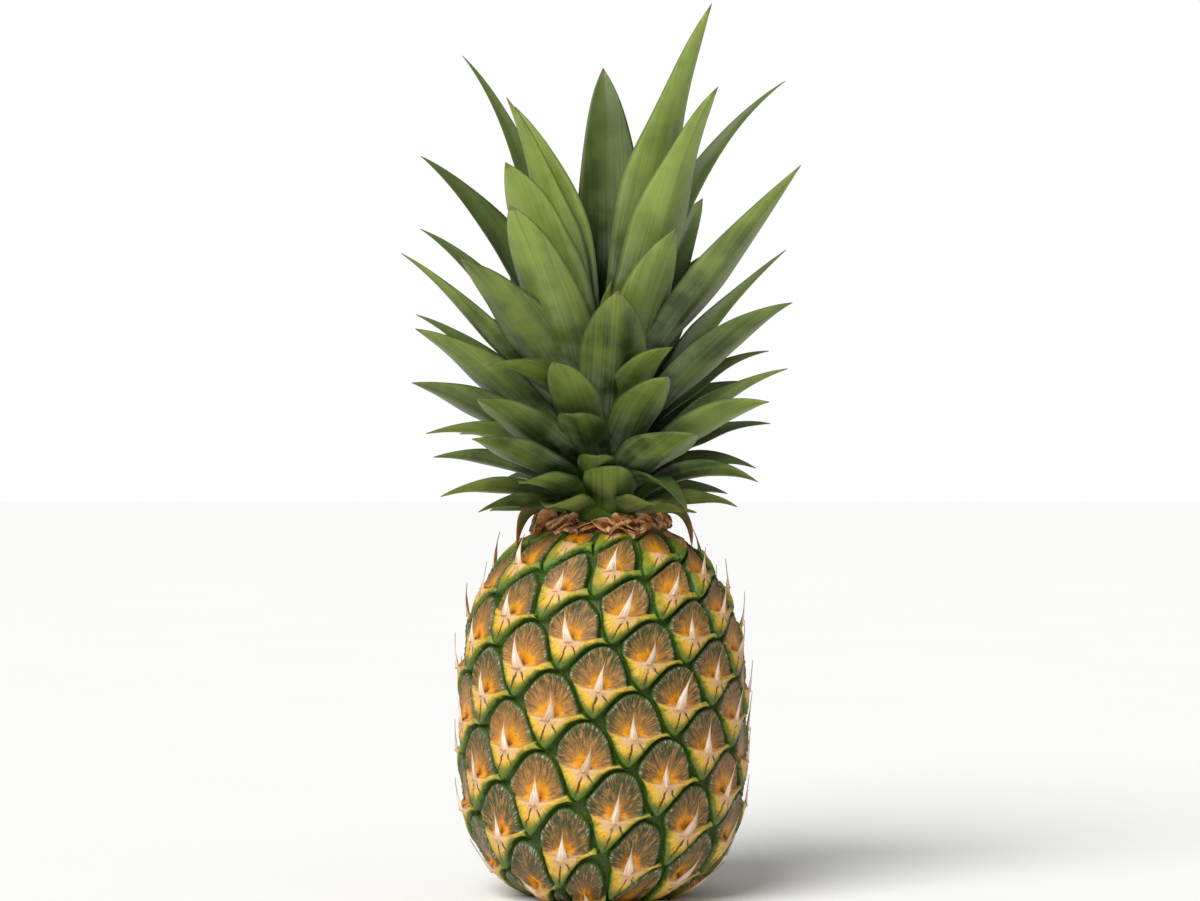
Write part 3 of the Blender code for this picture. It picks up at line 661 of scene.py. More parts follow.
def cut_flat(mesh, height, side, cap_material):
    """Cuts everything past a level plane off an open tube, and closes the cut."""
    form = bmesh.new()
    form.from_mesh(mesh)
    everything = form.verts[:] + form.edges[:] + form.faces[:]
    cut = bmesh.ops.bisect_plane(
        form, geom=everything, dist=0.01 * MM,
        plane_co=(0.0, 0.0, height), plane_no=(0.0, 0.0, side), clear_outer=True)
    rim = [edge for edge in cut["geom_cut"] if isinstance(edge, bmesh.types.BMEdge)]
    caps = bmesh.ops.holes_fill(form, edges=rim, sides=0)["faces"]
    for cap in caps:
        cap.material_index = cap_material
        cap.smooth = False
    bmesh.ops.recalc_face_normals(form, faces=form.faces[:])
    form.to_mesh(mesh)
    form.free()


def waxy_fruit_skin(looks):
    """Living skin of a ripe fruit: waxy, half gloss, each eye coloured round its spike.

    Colours run outwards from the star's middle, in millimetres: painted shadow in dark
    brown at the spike's foot, then orange, tan and grey-brown over the disc, with pale
    flecks of painted highlight inside its rim; dry tan, yellow and green over the
    bract, and dark green in the grooves.
    """
    material, tree, shader = new_material("waxy_fruit_skin")
    place, edge, draw = (
        add(tree, SPLIT, (add(tree, ATTRIBUTE, attribute_name=name, output="Vector"),)).node.outputs
        for name in ("eye_place", "eye_edge", "eye_draw"))
    object_place = add(tree, OBJECT_PLACE, output="Object")
    level = add(tree, SPLIT, (object_place,)).node.outputs[2]

    # Borders wander by half a millimetre, over patches about 3 mm wide
    wander = add(tree, NOISE, {"Vector": object_place, "Scale": 330.0, "Detail": 3.0}, output="Color")
    wander = add(tree, VECTOR_MATH, (wander, (0.5, 0.5, 0.5)), operation="SUBTRACT")
    wander = add(tree, SPLIT, (wander,)).node.outputs
    across = add(tree, MATH, (wander[0], 2.2, place[0]), **TIMES_PLUS)
    up = add(tree, MATH, (wander[1], 2.2, place[1]), **TIMES_PLUS)
    upper = add(tree, MATH, (wander[2], 1.4, place[2]), **TIMES_PLUS)
    lower = add(tree, MATH, (wander[0], 1.6, edge[0]), **TIMES_PLUS)
    below_wing = add(tree, MATH, (wander[2], 1.0, edge[1]), **TIMES_PLUS)
    inside = add(tree, MATH, (wander[1], 1.4, edge[2]), **TIMES_PLUS)
    width = add(tree, MATH, (across,), operation="ABSOLUTE")

    # Angle and distance round the star's middle, and streaks that run out from it
    down = add(tree, MATH, (up, -1.0), **TIMES)
    turn = add(tree, MATH, (across, down), operation="ARCTAN2")
    flat_place = add(tree, JOIN, (across, down, 0.0))
    reach = add(tree, VECTOR_MATH, (flat_place,), output="Value", operation="LENGTH")
    seed = add(tree, MATH, (draw[0], 40.0), **TIMES)
    polar = add(tree, JOIN, (turn, reach, seed))
    broad = add(tree, VECTOR_MATH, (polar, (3.6, 0.10, 1.0)), **TIMES)
    broad = add(tree, NOISE, {"Vector": broad, "Scale": 1.0, "Detail": 4.0, "Roughness": 0.6})
    fine = add(tree, VECTOR_MATH, (polar, (16.0, 0.22, 1.0)), **TIMES)
    fine = add(tree, NOISE, {"Vector": fine, "Scale": 1.0, "Detail": 4.0, "Roughness": 0.65})
    glint_streaks = add(tree, VECTOR_MATH, (polar, (24.0, 0.05, 1.0)), **TIMES)
    glint_streaks = add(tree, NOISE, {"Vector": glint_streaks, "Scale": 1.0, "Detail": 1.0})
    grain = add(tree, NOISE, {"Vector": object_place, "Scale": 900.0, "Detail": 3.0})

    # Disc: each eye has its own share of orange, and low eyes have less and are greyer
    share = add(tree, MAP, (draw[1], 0.0, 1.0, 0.80, 1.45))
    low_eye_share = add(tree, MAP, (level, 0.07, 0.01, 0.0, 0.35), **SOFT)
    share = add(tree, MATH, (share, low_eye_share), **PLUS)
    disc_reach = add(tree, MATH, (broad, 8.0, reach), **TIMES_PLUS)
    disc_reach = add(tree, MATH, (disc_reach, 4.0), operation="SUBTRACT")
    disc_reach = add(tree, MATH, (disc_reach, share), **TIMES)
    disc_reach = add(tree, MATH, (disc_reach, 18.0), operation="DIVIDE")
    # The ramp's first stop, dark brown where the spike stands, is painted shadow under the spike's
    # foot
    colour = add(tree, RAMP, (disc_reach,), stops=(
        (0.00, linear("#5c340a")), (1.0, linear("#454a26")), (0.08, linear("#b06c08")),
        (0.15, tuple(looks.orange)), (0.33, linear("#e89c1c")), (0.42, linear("#b47c2e")),
        (0.54, linear("#9c6e34")), (0.76, tuple(looks.grey))))
    grey = add(tree, MAP, (level, 0.082, 0.030, 0.0, 0.60), **SOFT)
    grey = add(tree, MATH, (grey, add(
        tree, MAP, (disc_reach, 0.40, 0.62, 0.0, 1.0), **SOFT)), **TIMES)
    inland = add(tree, MAP, (inside, 1.4, 3.2, 0.0, 1.0), **SOFT)
    outward = add(tree, MAP, (reach, 4.5, 8.0, 0.0, 1.0), **SOFT)
    streaked = add(tree, MATH, (inland, outward), **TIMES)
    rosy = add(tree, MAP, (fine, 0.48, 0.64, 0.0, 0.75), **SOFT)
    sooty = add(tree, MAP, (fine, 0.48, 0.34, 0.0, 0.7), **SOFT)
    # Painted highlights: pale flecks just inside the disc's rim stand for glints on its waxy rim
    near_rim = add(tree, MAP, (inside, 1.0, 1.5, 0.0, 1.0), **SOFT)
    past_rim = add(tree, MAP, (inside, 2.9, 2.1, 0.0, 1.0), **SOFT)
    painted_glint = add(tree, MATH, (near_rim, past_rim), **TIMES)
    painted_glint = add(tree, MATH, (painted_glint, add(
        tree, MAP, (glint_streaks, 0.53, 0.64, 0.0, 0.75), **SOFT)), **TIMES)
    for mask, over in (
            (grey, linear("#4a482a")),
            (add(tree, MATH, (streaked, rosy), **TIMES), linear("#b88544")),
            (add(tree, MATH, (streaked, sooty), **TIMES), linear("#352e1a")),
            (add(tree, MAP, (inside, 2.8, 1.2, 0.0, 0.7), **SOFT), linear("#4b5228")),
            # Painted highlight: the pale flecks inside the rim
            (painted_glint, linear("#a3a98c"))):
        colour = add(tree, MIX, {0: mask, 6: colour, 7: over}, output=2, data_type="RGBA")
    disc = colour

    # Bract: ribs, two cracks, pale arms under the wings' lip, and green margins
    bract_reach = add(tree, MATH, (broad, 9.0, reach), **TIMES_PLUS)
    bract_reach = add(tree, MATH, (bract_reach, 4.5), operation="SUBTRACT")
    bract_reach = add(tree, MATH, (bract_reach, 17.0), operation="DIVIDE")
    colour = add(tree, RAMP, (bract_reach,), stops=(
        (0.00, tuple(looks.tan)), (1.0, linear("#6f7c2a")), (0.18, linear("#d8ac7c")),
        (0.30, linear("#dcb05a")), (0.42, tuple(looks.yellow)), (0.62, linear("#d6a62c")),
        (0.80, linear("#8e8a26"))))
    lean = add(tree, MATH, (draw[1], 0.5), operation="SUBTRACT")
    fork = add(tree, MATH, (lean, -CRACK_TURN, turn), **TIMES_PLUS)
    fork = add(tree, MATH, (fork,), operation="ABSOLUTE")
    fork = add(tree, MATH, (fork, CRACK_ANGLE), operation="SUBTRACT")
    fork = add(tree, MATH, (fork,), operation="ABSOLUTE")
    fork = add(tree, MATH, (fork, reach), **TIMES)
    crack = add(tree, MAP, (fork, 0.6, 0.2, 0.0, 1.0), **SOFT)
    for bound in (
            (reach, 14.0, 11.0, 0.0, 0.95), (reach, 2.0, 4.0, 0.0, 1.0),
            (broad, 0.3, 0.45, 0.3, 1.0)):
        crack = add(tree, MATH, (crack, add(tree, MAP, bound, **SOFT)), **TIMES)
    leafy = add(tree, MAP, (fine, 0.50, 0.37, 0.0, 0.75), **SOFT)
    leafy = add(tree, MATH, (leafy, outward), **TIMES)
    lip = add(tree, MAP, (below_wing, 1.1, 0.3, 0.0, 1.0), **SOFT)
    lip = add(tree, MATH, (lip, add(tree, MAP, (width, 11.0, 7.0, 0.0, 0.6), **SOFT)), **TIMES)
    arms = add(tree, MAP, (below_wing, 2.6, 1.0, 0.0, 1.0), **SOFT)
    arms = add(tree, MATH, (arms, add(tree, MAP, (width, 9.5, 3.0, 0.0, 0.85), **SOFT)), **TIMES)
    arms = add(tree, MATH, (arms, add(tree, MAP, (broad, 0.36, 0.58, 0.15, 1.0), **SOFT)), **TIMES)
    low = add(tree, MAP, (up, -5.0, -9.5, 0.0, 0.85), **SOFT)
    margin = add(tree, MAP, (width, 5.0, 11.0, 3.4, 1.7), **SOFT)
    margin = add(tree, MATH, (broad, 3.0, margin), **TIMES_PLUS)
    margin = add(tree, MATH, (margin, 1.5), operation="SUBTRACT")
    margin = add(tree, MATH, (lower, margin), operation="DIVIDE")
    margin = add(tree, MAP, (margin, 1.0, 0.35, 0.0, 0.9), **SOFT)
    for mask, over in (
            (add(tree, MAP, (fine, 0.52, 0.66, 0.0, 0.55), **SOFT), linear("#e6c66e")),
            (leafy, linear("#8c8228")),
            (low, linear("#50661e")),
            (arms, linear("#dcb484")),
            (crack, linear("#4e2f18")),
            (lip, linear("#9a6a44")),
            (add(tree, MAP, (width, 12.0, 15.5, 0.0, 0.6), **SOFT), linear("#96a030")),
            (margin, tuple(looks.leafy))):
        colour = add(tree, MIX, {0: mask, 6: colour, 7: over}, output=2, data_type="RGBA")
    green_top = add(tree, MAP, (level, 0.115, 0.145, 0.0, 0.7), **SOFT)
    green_top = add(tree, MATH, (green_top, outward), **TIMES)
    bract_colour = add(
        tree, MIX, {0: green_top, 6: colour, 7: linear("#5d7d22")}, output=2, data_type="RGBA")

    # Grooves, with the dark green on both shores
    bract = add(tree, MAP, (below_wing, -0.2, 0.3, 0.0, 1.0), **SOFT)
    tip_edge = add(tree, MATH, (upper, 1.6), **TIMES)
    disc_edge = add(tree, MIX, {0: bract, 2: inside, 3: tip_edge}, output=0)
    bract_edge = add(tree, MATH, (lower, 1.35), **TIMES)
    shore = add(tree, MATH, (disc_edge, bract_edge), operation="MINIMUM")
    groove = add(tree, MAP, (shore, 1.35, 0.75, 0.0, 1.0), **SOFT)
    moss = add(tree, MAP, (grain, 0.5, 0.7, 0.0, 0.5), **SOFT)
    moss = add(tree, MIX, {0: moss, 6: tuple(looks.groove), 7: linear("#56780e")},
               output=2, data_type="RGBA")
    speck = add(tree, MAP, (grain, 0.60, 0.72, 0.0, 0.5), **SOFT)
    colour = disc
    for mask, over in ((bract, bract_colour), (groove, moss), (speck, linear("#4c3418"))):
        colour = add(tree, MIX, {0: mask, 6: colour, 7: over}, output=2, data_type="RGBA")
    tree.links.new(colour, shader.inputs["Base Color"])

    height = add(tree, MATH, (fine, 0.7, grain), **TIMES_PLUS)
    # The painted highlights' flecks also raise the bump a little
    height = add(tree, MATH, (painted_glint, 0.6, height), **TIMES_PLUS)
    bump = add(tree, BUMP, {"Height": height, "Distance": 0.4 * MM, "Strength": 0.8})
    tree.links.new(bump, shader.inputs["Normal"])
    rough = add(tree, MAP, (grain, 0.3, 0.7, 0.36, 0.58), **SOFT)
    tree.links.new(rough, shader.inputs["Roughness"])
    shader.inputs["Specular IOR Level"].default_value = 0.32
    return material


def cut_base_flesh():
    """Cut end of the stalk in the base: dry and fibrous, with darker vessel ends."""
    material, tree, shader = new_material("cut_base_flesh")
    object_place = add(tree, OBJECT_PLACE, output="Object")
    level_place = add(tree, VECTOR_MATH, (object_place, (1.0, 1.0, 0.0)), **TIMES)
    reach = add(tree, VECTOR_MATH, (level_place,), output="Value", operation="LENGTH")
    grain = add(tree, NOISE, {"Vector": object_place, "Scale": 700.0, "Detail": 4.0})
    patch = add(tree, NOISE, {"Vector": object_place, "Scale": 150.0, "Detail": 3.0})
    reach = add(tree, MATH, (patch, 6.0 * MM, reach), **TIMES_PLUS)
    colour = linear("#5d4a28")
    for mask, over in (
            (add(tree, MAP, (reach, 24.0 * MM, 17.0 * MM, 0.0, 1.0), **SOFT), linear("#8a6a3e")),
            (add(tree, MAP, (reach, 17.0 * MM, 14.5 * MM, 0.0, 1.0), **SOFT), linear("#c2a06c")),
            (add(tree, MAP, (grain, 0.48, 0.38, 0.0, 0.7), **SOFT), linear("#6b4a28")),
            (add(tree, MAP, (patch, 0.52, 0.64, 0.0, 0.5), **SOFT), linear("#4c5226"))):
        colour = add(tree, MIX, {0: mask, 6: colour, 7: over}, output=2, data_type="RGBA")
    tree.links.new(colour, shader.inputs["Base Color"])
    bump = add(tree, BUMP, {"Height": grain, "Distance": 0.6 * MM, "Strength": 0.9})
    tree.links.new(bump, shader.inputs["Normal"])
    shader.inputs["Roughness"].default_value = 0.85
    return material


class PINEAPPLE_OT_fruit(bpy.types.Operator):
    """Makes the fruit's skin, with every eye, groove, disc and bract"""

    bl_idname = "pineapple.fruit"
    bl_label = "Fruit skin"

    def execute(self, context):
        looks = context.scene.pineapple_fruit
        mesh = make_fruit_mesh(looks)
        new_piece("fruit_skin", mesh, waxy_fruit_skin(looks), "fruit_skin", "fruit")
        mesh.materials.append(cut_base_flesh())
        return {"FINISHED"}


# Spikes


def spike_tips(eyes):
    """Foot frame and tip of each spike: it leans up and off the skin, by a seeded draw."""
    centre = np.zeros(len(eyes))
    azimuth, height, radius, out, rise = skin_frame(eyes, centre, centre)
    draw = np.random.default_rng(SPIKE_SEED).random((len(eyes), 3))
    length = drawn(SPIKE_LENGTH, draw[:, 0])
    stand_off = drawn(SPIKE_STAND_OFF, draw[:, 1])
    lean = SPIKE_SPREAD * (2.0 * draw[:, 2] - 1.0)
    outward = SPIKE_SKIN_SHARE * np.maximum(-rise, 0.0) + stand_off * out
    upward = np.hypot(out, np.maximum(rise, 0.0)) + stand_off * rise
    scale = length / np.sqrt(outward**2 + upward**2 + lean**2)
    reach = radius + outward * scale
    side = lean * scale
    tips = np.stack([
        reach * np.sin(azimuth) + side * np.cos(azimuth),
        -reach * np.cos(azimuth) + side * np.sin(azimuth),
        height + upward * scale,
    ], -1)
    whole = (height > SPIKE_LOWEST) & (height < SPIKE_HIGHEST)
    return tips, whole


def make_spike_mesh():
    """Spikes: each a folded dry blade along a curve from its foot to its tip.

    The width falls fast from a flared foot, stays broad for a third of the length,
    then runs out into a needle. Across it the blade is ridged outwards along its
    middle, and it is thin at its margins. Near the ground all heights are eased
    to stay over it, by the smooth larger of the height and zero.
    """
    eyes = np.arange(LOWEST_EYE, HIGHEST_EYE + 1)
    tips, whole = spike_tips(eyes)
    eyes, tips = eyes[whole], tips[whole]
    draw = np.random.default_rng(SPIKE_SEED + 1).random((len(eyes), 4))
    foot = np.full(len(eyes), 0.5 * SPIKE_FOOT)
    azimuth, height, radius, out, rise = skin_frame(eyes, -foot, foot)
    roots = place_on_skin(azimuth, height, radius, out, rise, SPIKE_ROOT_LIFT)
    side = np.stack([np.cos(azimuth), np.sin(azimuth), np.zeros(len(eyes))], -1)
    normal = np.stack([out * np.sin(azimuth), -out * np.cos(azimuth), rise], -1)
    along = np.linspace(0.0, 1.0, SPIKE_STATIONS)[None, :, None]
    across = np.linspace(-1.0, 1.0, SPIKE_STEPS)
    straight = SPIKE_STRETCH * (tips - roots)
    tips = roots + straight
    span = np.linalg.norm(straight, axis=1, keepdims=True)
    bow = drawn(SPIKE_BOW, draw[:, :1])
    sway = SPIKE_SWAY * (2.0 * draw[:, 1:2] - 1.0)
    bend = roots + 0.5 * straight + bow * span * normal + sway * span * side
    spine = ((1 - along) ** 2 * roots[:, None] + 2 * along * (1 - along) * bend[:, None]
             + along**2 * tips[:, None])
    body = SPIKE_BODY * (1.0 - smooth_step((along - 0.12) / 0.62))
    body = body + SPIKE_NEEDLE * (1.0 - along) + SPIKE_POINT
    size = drawn(SPIKE_SIZE, draw[:, 0])[:, None, None]
    half = (body * size + SPIKE_FLARE * np.exp(-along / 0.07)) * MM
    twist = (SPIKE_TWIST * (draw[:, 2] - 0.5))[:, None, None] * along**2
    wide = np.cos(twist) * side[:, None] + np.sin(twist) * normal[:, None]
    deep = np.cos(twist) * normal[:, None] - np.sin(twist) * side[:, None]
    fold = SPIKE_FOLD * half * (1.0 - 0.5 * along)
    curl = np.sin(FULL_TURN * (along * 1.3 + draw[:, 3][:, None, None]))
    outer = spine[:, :, None] + across[None, None, :, None] * (half * wide)[:, :, None]
    ridge = (1.0 - np.abs(across)) ** 1.2 + 0.2 * curl * across
    outer = outer + ridge[..., None] * (fold * deep)[:, :, None]
    thick = (0.22 + 0.32 * (1.0 - across**2)) * MM * (1.0 - 0.6 * along)
    inner = outer - thick[..., None] * deep[:, :, None]
    for face in (outer, inner):
        face[..., 2] = GROUND_GAP * np.logaddexp(0.0, face[..., 2] / GROUND_GAP)
    place = np.stack(np.broadcast_arrays(across, along, 0.0), -1)
    draws = draw[:, None, None, :3]
    marks = {"blade_place": (place, place), "blade_draw": (draws, draws)}
    return closed_blades("bract_spikes", inner, outer, marks)


def dry_bract_tip(looks):
    """Dried tip of a bract: pale, papery and fibrous, browner at its foot and point."""
    material, tree, shader = new_material("dry_bract_tip")
    place, draw = (
        add(tree, SPLIT, (add(tree, ATTRIBUTE, attribute_name=name, output="Vector"),)).node.outputs
        for name in ("blade_place", "blade_draw"))
    seed = add(tree, MATH, (draw[0], 30.0), **TIMES)
    # Fibres about half a millimetre apart run the spike's length
    fibres = add(tree, JOIN, (place[0], place[1], seed))
    fibres = add(tree, VECTOR_MATH, (fibres, (5.0, 1.6, 1.0)), **TIMES)
    fibres = add(tree, NOISE, {"Vector": fibres, "Scale": 1.0, "Detail": 3.0})
    along = add(tree, MATH, (fibres, 0.4, place[1]), **TIMES_PLUS)
    along = add(tree, MATH, (along, 0.2), operation="SUBTRACT")
    colour = add(tree, RAMP, (along,), stops=(
        (0.0, tuple(looks.tan)), (1.0, linear("#8a6038")), (0.14, linear("#e4c4a4")),
        (0.28, tuple(looks.cream)), (0.62, linear("#e6cfb2")), (0.84, linear("#b98a5c"))))
    margin = add(tree, MATH, (place[0],), operation="ABSOLUTE")
    for mask, over in (
            (add(tree, MAP, (fibres, 0.47, 0.36, 0.0, 0.6), **SOFT), linear("#a06f4c")),
            (add(tree, MAP, (margin, 0.7, 1.0, 0.0, 0.5), **SOFT), linear("#9a6a44")),
            (add(tree, MAP, (draw[1], 0.7, 1.0, 0.0, 0.5), **SOFT), linear("#a67c54"))):
        colour = add(tree, MIX, {0: mask, 6: colour, 7: over}, output=2, data_type="RGBA")
    tree.links.new(colour, shader.inputs["Base Color"])
    bump = add(tree, BUMP, {"Height": fibres, "Distance": 0.25 * MM, "Strength": 0.8})
    tree.links.new(bump, shader.inputs["Normal"])
    shader.inputs["Roughness"].default_value = 0.62
    return material


class PINEAPPLE_OT_spikes(bpy.types.Operator):
    """Makes the dry spikes that stand up from the middle of the eyes"""

    bl_idname = "pineapple.spikes"
    bl_label = "Spikes"

    def execute(self, context):
        looks = context.scene.pineapple_fruit
        new_piece(
            "bract_spikes", make_spike_mesh(), dry_bract_tip(looks), "dry_bract", "fruit")
        return {"FINISHED"}


# Crown


def stem_radius(height):
    """Radius of the crown's tapered stem at a height."""
    share = (height - NECK_HEIGHT) / (STEM_TOP - NECK_HEIGHT)
    return STEM_FOOT_RADIUS + (STEM_TOP_RADIUS - STEM_FOOT_RADIUS) * share


def leaf_table(rows, blunt_rows=()):
    """Tips, widths, root heights, arches and bluntness of a table's leaves, in metres and radians."""
    table = np.array(rows, dtype=float)
    blunt = np.zeros(len(table))
    blunt[list(blunt_rows)] = BLUNT_TAPER
    return table[:, :3] * MM, table[:, 3] * MM, table[:, 4] * MM, table[:, 5] * DEG, blunt


def rear_leaves():
    """The same five columns for the far side's leaves, skirt first."""
    draw = np.random.default_rng(REAR_SEED).random((REAR_LEAVES, 2))
    number = np.arange(REAR_LEAVES)
    rank = (number + 0.5) / REAR_LEAVES
    azimuth = drawn(REAR_AZIMUTH, number * GOLDEN_FRACTION % 1.0)
    reach = REAR_REACH + REAR_SWELL * np.sin(math.pi * rank) - REAR_CLOSING * rank**2
    reach = reach * drawn(REAR_REACH_SHARE, draw[:, 0])
    height = drawn(REAR_HEIGHT, rank**REAR_HEIGHT_POWER) + REAR_HEIGHT_DRAW * draw[:, 1]
    width = drawn(REAR_WIDTH, rank**REAR_WIDTH_POWER)
    tips = np.stack([reach * np.sin(azimuth), -reach * np.cos(azimuth), height], -1)
    return tips, width, drawn(REAR_ROOT, rank), drawn(REAR_ARCH, rank), np.zeros(REAR_LEAVES)


def heart_leaves():
    """The same five columns for the young leaves, in the order of the spiral."""
    number = np.arange(HEART_LEAVES)
    rank = (number + 0.5) / HEART_LEAVES
    azimuth = number * EYE_TURN + HEART_AZIMUTH
    reach = drawn(HEART_REACH, rank)
    tips = np.stack([
        reach * np.sin(azimuth), -reach * np.cos(azimuth), drawn(HEART_HEIGHT, rank)], -1)
    arch = np.full(HEART_LEAVES, HEART_ARCH)
    return tips, drawn(HEART_WIDTH, rank), drawn(HEART_ROOT, rank), arch, np.zeros(HEART_LEAVES)


def all_leaves():
    """Every green leaf of the crown: the front's, the far side's and the heart's."""
    groups = (leaf_table(FRONT_LEAVES, BLUNT_ROWS), rear_leaves(), heart_leaves())
    return [np.concatenate(column) for column in zip(*groups)]


def blade_width(place, taper):
    """Share of a leaf's width along it: swells to the widest place, then tapers off."""
    swell = np.sin(0.5 * math.pi * np.clip(place / WIDEST_PLACE, 0.0, 1.0))
    beyond = np.clip((place - WIDEST_PLACE) / (1.0 - WIDEST_PLACE), 0.0, 1.0)
    return (ROOT_WIDTH + (1.0 - ROOT_WIDTH) * swell) * (1.0 - beyond**taper)


def leaf_surfaces(roots, tips, arch, width, stations, steps, draw, bend_share=0.5, blunt=0.0):
    """Outer and inner faces of many channelled leaves, with their attributes.

    Each spine is a curve with one bend, in the upright plane through the axis. It
    leaves the root steeper than the straight line to the tip by the arch angle, and
    its bend lies a share of that line's length away. It sways to one side and
    hooks inwards near the tip. Across it the blade is a rounded channel that opens
    upwards and inwards, and its margins wave a little. Leaves that point sideways
    are rolled about their spine, backs to the front or, on the far side, to the
    rear. Long leaves taper early, short and blunt ones late.
    """
    place = np.linspace(0.0, 1.0, stations)[None, :, None]
    across = np.linspace(-1.0, 1.0, steps)[None, None, :, None]
    flat_run = tips[:, :2] - roots[:, :2]
    run = np.linalg.norm(flat_run, axis=1, keepdims=True)
    ahead = np.concatenate([flat_run / run, np.zeros_like(run)], axis=1)
    upright = np.array([0.0, 0.0, 1.0])
    span = np.linalg.norm(tips - roots, axis=1)
    lift = arch + np.arctan2(tips[:, 2] - roots[:, 2], run[:, 0])
    bend = roots + bend_share * span[:, None] * (
        np.cos(lift)[:, None] * ahead + np.sin(lift)[:, None] * upright)
    root, middle, tip = roots[:, None], bend[:, None], tips[:, None]
    spine = (1 - place) ** 2 * root + 2 * place * (1 - place) * middle + place**2 * tip
    along = 2 * (1 - place) * (middle - root) + 2 * place * (tip - middle)
    along = along / np.linalg.norm(along, axis=2, keepdims=True)
    level = np.broadcast_to(np.cross(upright, ahead)[:, None], along.shape)
    square = np.cross(along, level)
    square = square / np.linalg.norm(square, axis=2, keepdims=True)
    roll = LEAF_ROLL * ahead[:, 0] * np.abs(ahead[:, 0]) * np.where(ahead[:, 1] > 0.0, -1.0, 1.0)
    roll = roll[:, None, None] * smooth_step(place / WIDEST_PLACE)
    side = np.cos(roll) * level - np.sin(roll) * square
    inner = np.cos(roll) * square + np.sin(roll) * level
    taper = np.clip(SLIM_TAPER - TAPER_CHANGE * span / width, LEAST_TAPER, MOST_TAPER) + blunt
    half = 0.5 * width[:, None, None] * blade_width(place, taper[:, None, None])
    beyond = np.clip((place - WIDEST_PLACE) / (1.0 - WIDEST_PLACE), 0.0, 1.0)
    slender = np.clip((span / width - SLIM_FROM) / SLIM_RANGE, 0.0, 1.0)
    slender = slender * drawn(SLIM_SHARE, draw[:, 2])
    slim = slender[:, None, None] * np.sin(math.pi * beyond**1.3)
    half = np.maximum(half * (1.0 - slim), LEAST_HALF_WIDTH)
    depth = half * (CHANNEL_DEPTH - CHANNEL_FADE * place)
    sway = (LEAF_SWAY * span * (2.0 * draw[:, 0] - 1.0))[:, None, None] * np.sin(math.pi * place)
    hook = (LEAF_HOOK * span * draw[:, 1])[:, None, None] * place**3 * (1.0 - place)
    spine = spine + sway * side + hook * inner
    channel = np.abs(across) ** 1.6 - 0.5
    phase = FULL_TURN * draw[:, 1][:, None, None, None]
    wave = np.sin(FULL_TURN * (1.7 + draw[:, 2][:, None, None, None]) * place[..., None]
                  + phase + 1.3 * np.sign(across)) * across**2
    offset = depth[..., None] * channel + MARGIN_WAVE * half[..., None] * wave
    middle_face = spine[:, :, None] + across * (half * side)[:, :, None]
    middle_face = middle_face + offset * inner[:, :, None]
    thick = 0.5 * (BLADE_MIDDLE * (1 - place) + BLADE_EDGE * place)[..., None]
    thick = thick * (1.0 - BLADE_THINNING * across**2)
    thick = thick * smooth_step((1.05 - place[..., None]) / 0.1)
    outer_face = middle_face - thick * inner[:, :, None]
    inner_face = middle_face + thick * inner[:, :, None]

    outer_place, inner_place = (
        np.stack(np.broadcast_arrays(across[..., 0], place, face), -1) for face in (0.0, 1.0))
    lengthwise = (span[:, None, None] * place)[:, :, None]
    metres = np.concatenate(np.broadcast_arrays(
        across * half[:, :, None], lengthwise, 0.0 * lengthwise), -1)
    marks = {"blade_place": (outer_place, inner_place), "blade_metres": (metres, metres)}
    return outer_face, inner_face, marks


def rooted_leaves(name, leaves, seed, stations, steps, bend_share=0.5):
    """A mesh of leaves that are rooted in the stem, each a closed blade.

    Leaves are the five columns of their table. Each root lies a little inside the
    stem, towards the tip but turned by a sine of the leaf's number.
    """
    tips, width, root_height, arch, blunt = leaves
    number = np.arange(len(tips))
    draw = np.random.default_rng(seed).random((len(tips), 4))
    azimuth = np.arctan2(tips[:, 0], -tips[:, 1]) + ROOT_TURN * np.sin(ROOT_TURN_RATE * number)
    reach = np.maximum(stem_radius(root_height) - ROOT_SINK, 2.0 * MM)
    roots = np.stack([reach * np.sin(azimuth), -reach * np.cos(azimuth), root_height], -1)
    rank = np.clip((root_height - RANK_FROM) / RANK_RANGE, 0.0, 1.0)
    outer, inner, marks = leaf_surfaces(
        roots, tips, arch, width, stations, steps, draw, bend_share, blunt)
    ranks = np.stack([rank, draw[:, 3], draw[:, 1]], -1)[:, None, None]
    marks["blade_rank"] = (ranks, ranks)
    return closed_blades(name, outer, inner, marks)


def make_stem_mesh():
    """The crown's stem: a tapered, faintly wavy round body that is rounded off at its top."""
    around, up = 48, 24
    turn = FULL_TURN * np.arange(around) / around
    share = np.linspace(0.0, 1.0, up)[:, None]
    height = NECK_HEIGHT - STEM_SINK + share * (STEM_TOP - NECK_HEIGHT)
    radius = stem_radius(height) * np.sqrt(np.clip(1.0 - share**8, 0.0, 1.0)) + STEM_END_RADIUS
    radius = radius * (1.0 + STEM_WAVES * np.sin(5.0 * turn + 20.0 * share))
    points = np.stack(np.broadcast_arrays(
        radius * np.sin(turn), -radius * np.cos(turn), height), -1)
    low, side = np.meshgrid(np.arange(up - 1), np.arange(around), indexing="ij")
    following = (side + 1) % around
    quads = np.stack([
        low * around + side, low * around + following,
        (low + 1) * around + following, (low + 1) * around + side], -1).reshape(-1, 4)
    caps = [list(range(around))[::-1], list(range((up - 1) * around, up * around))]
    return new_mesh("crown_stem", points, quads.tolist() + caps)


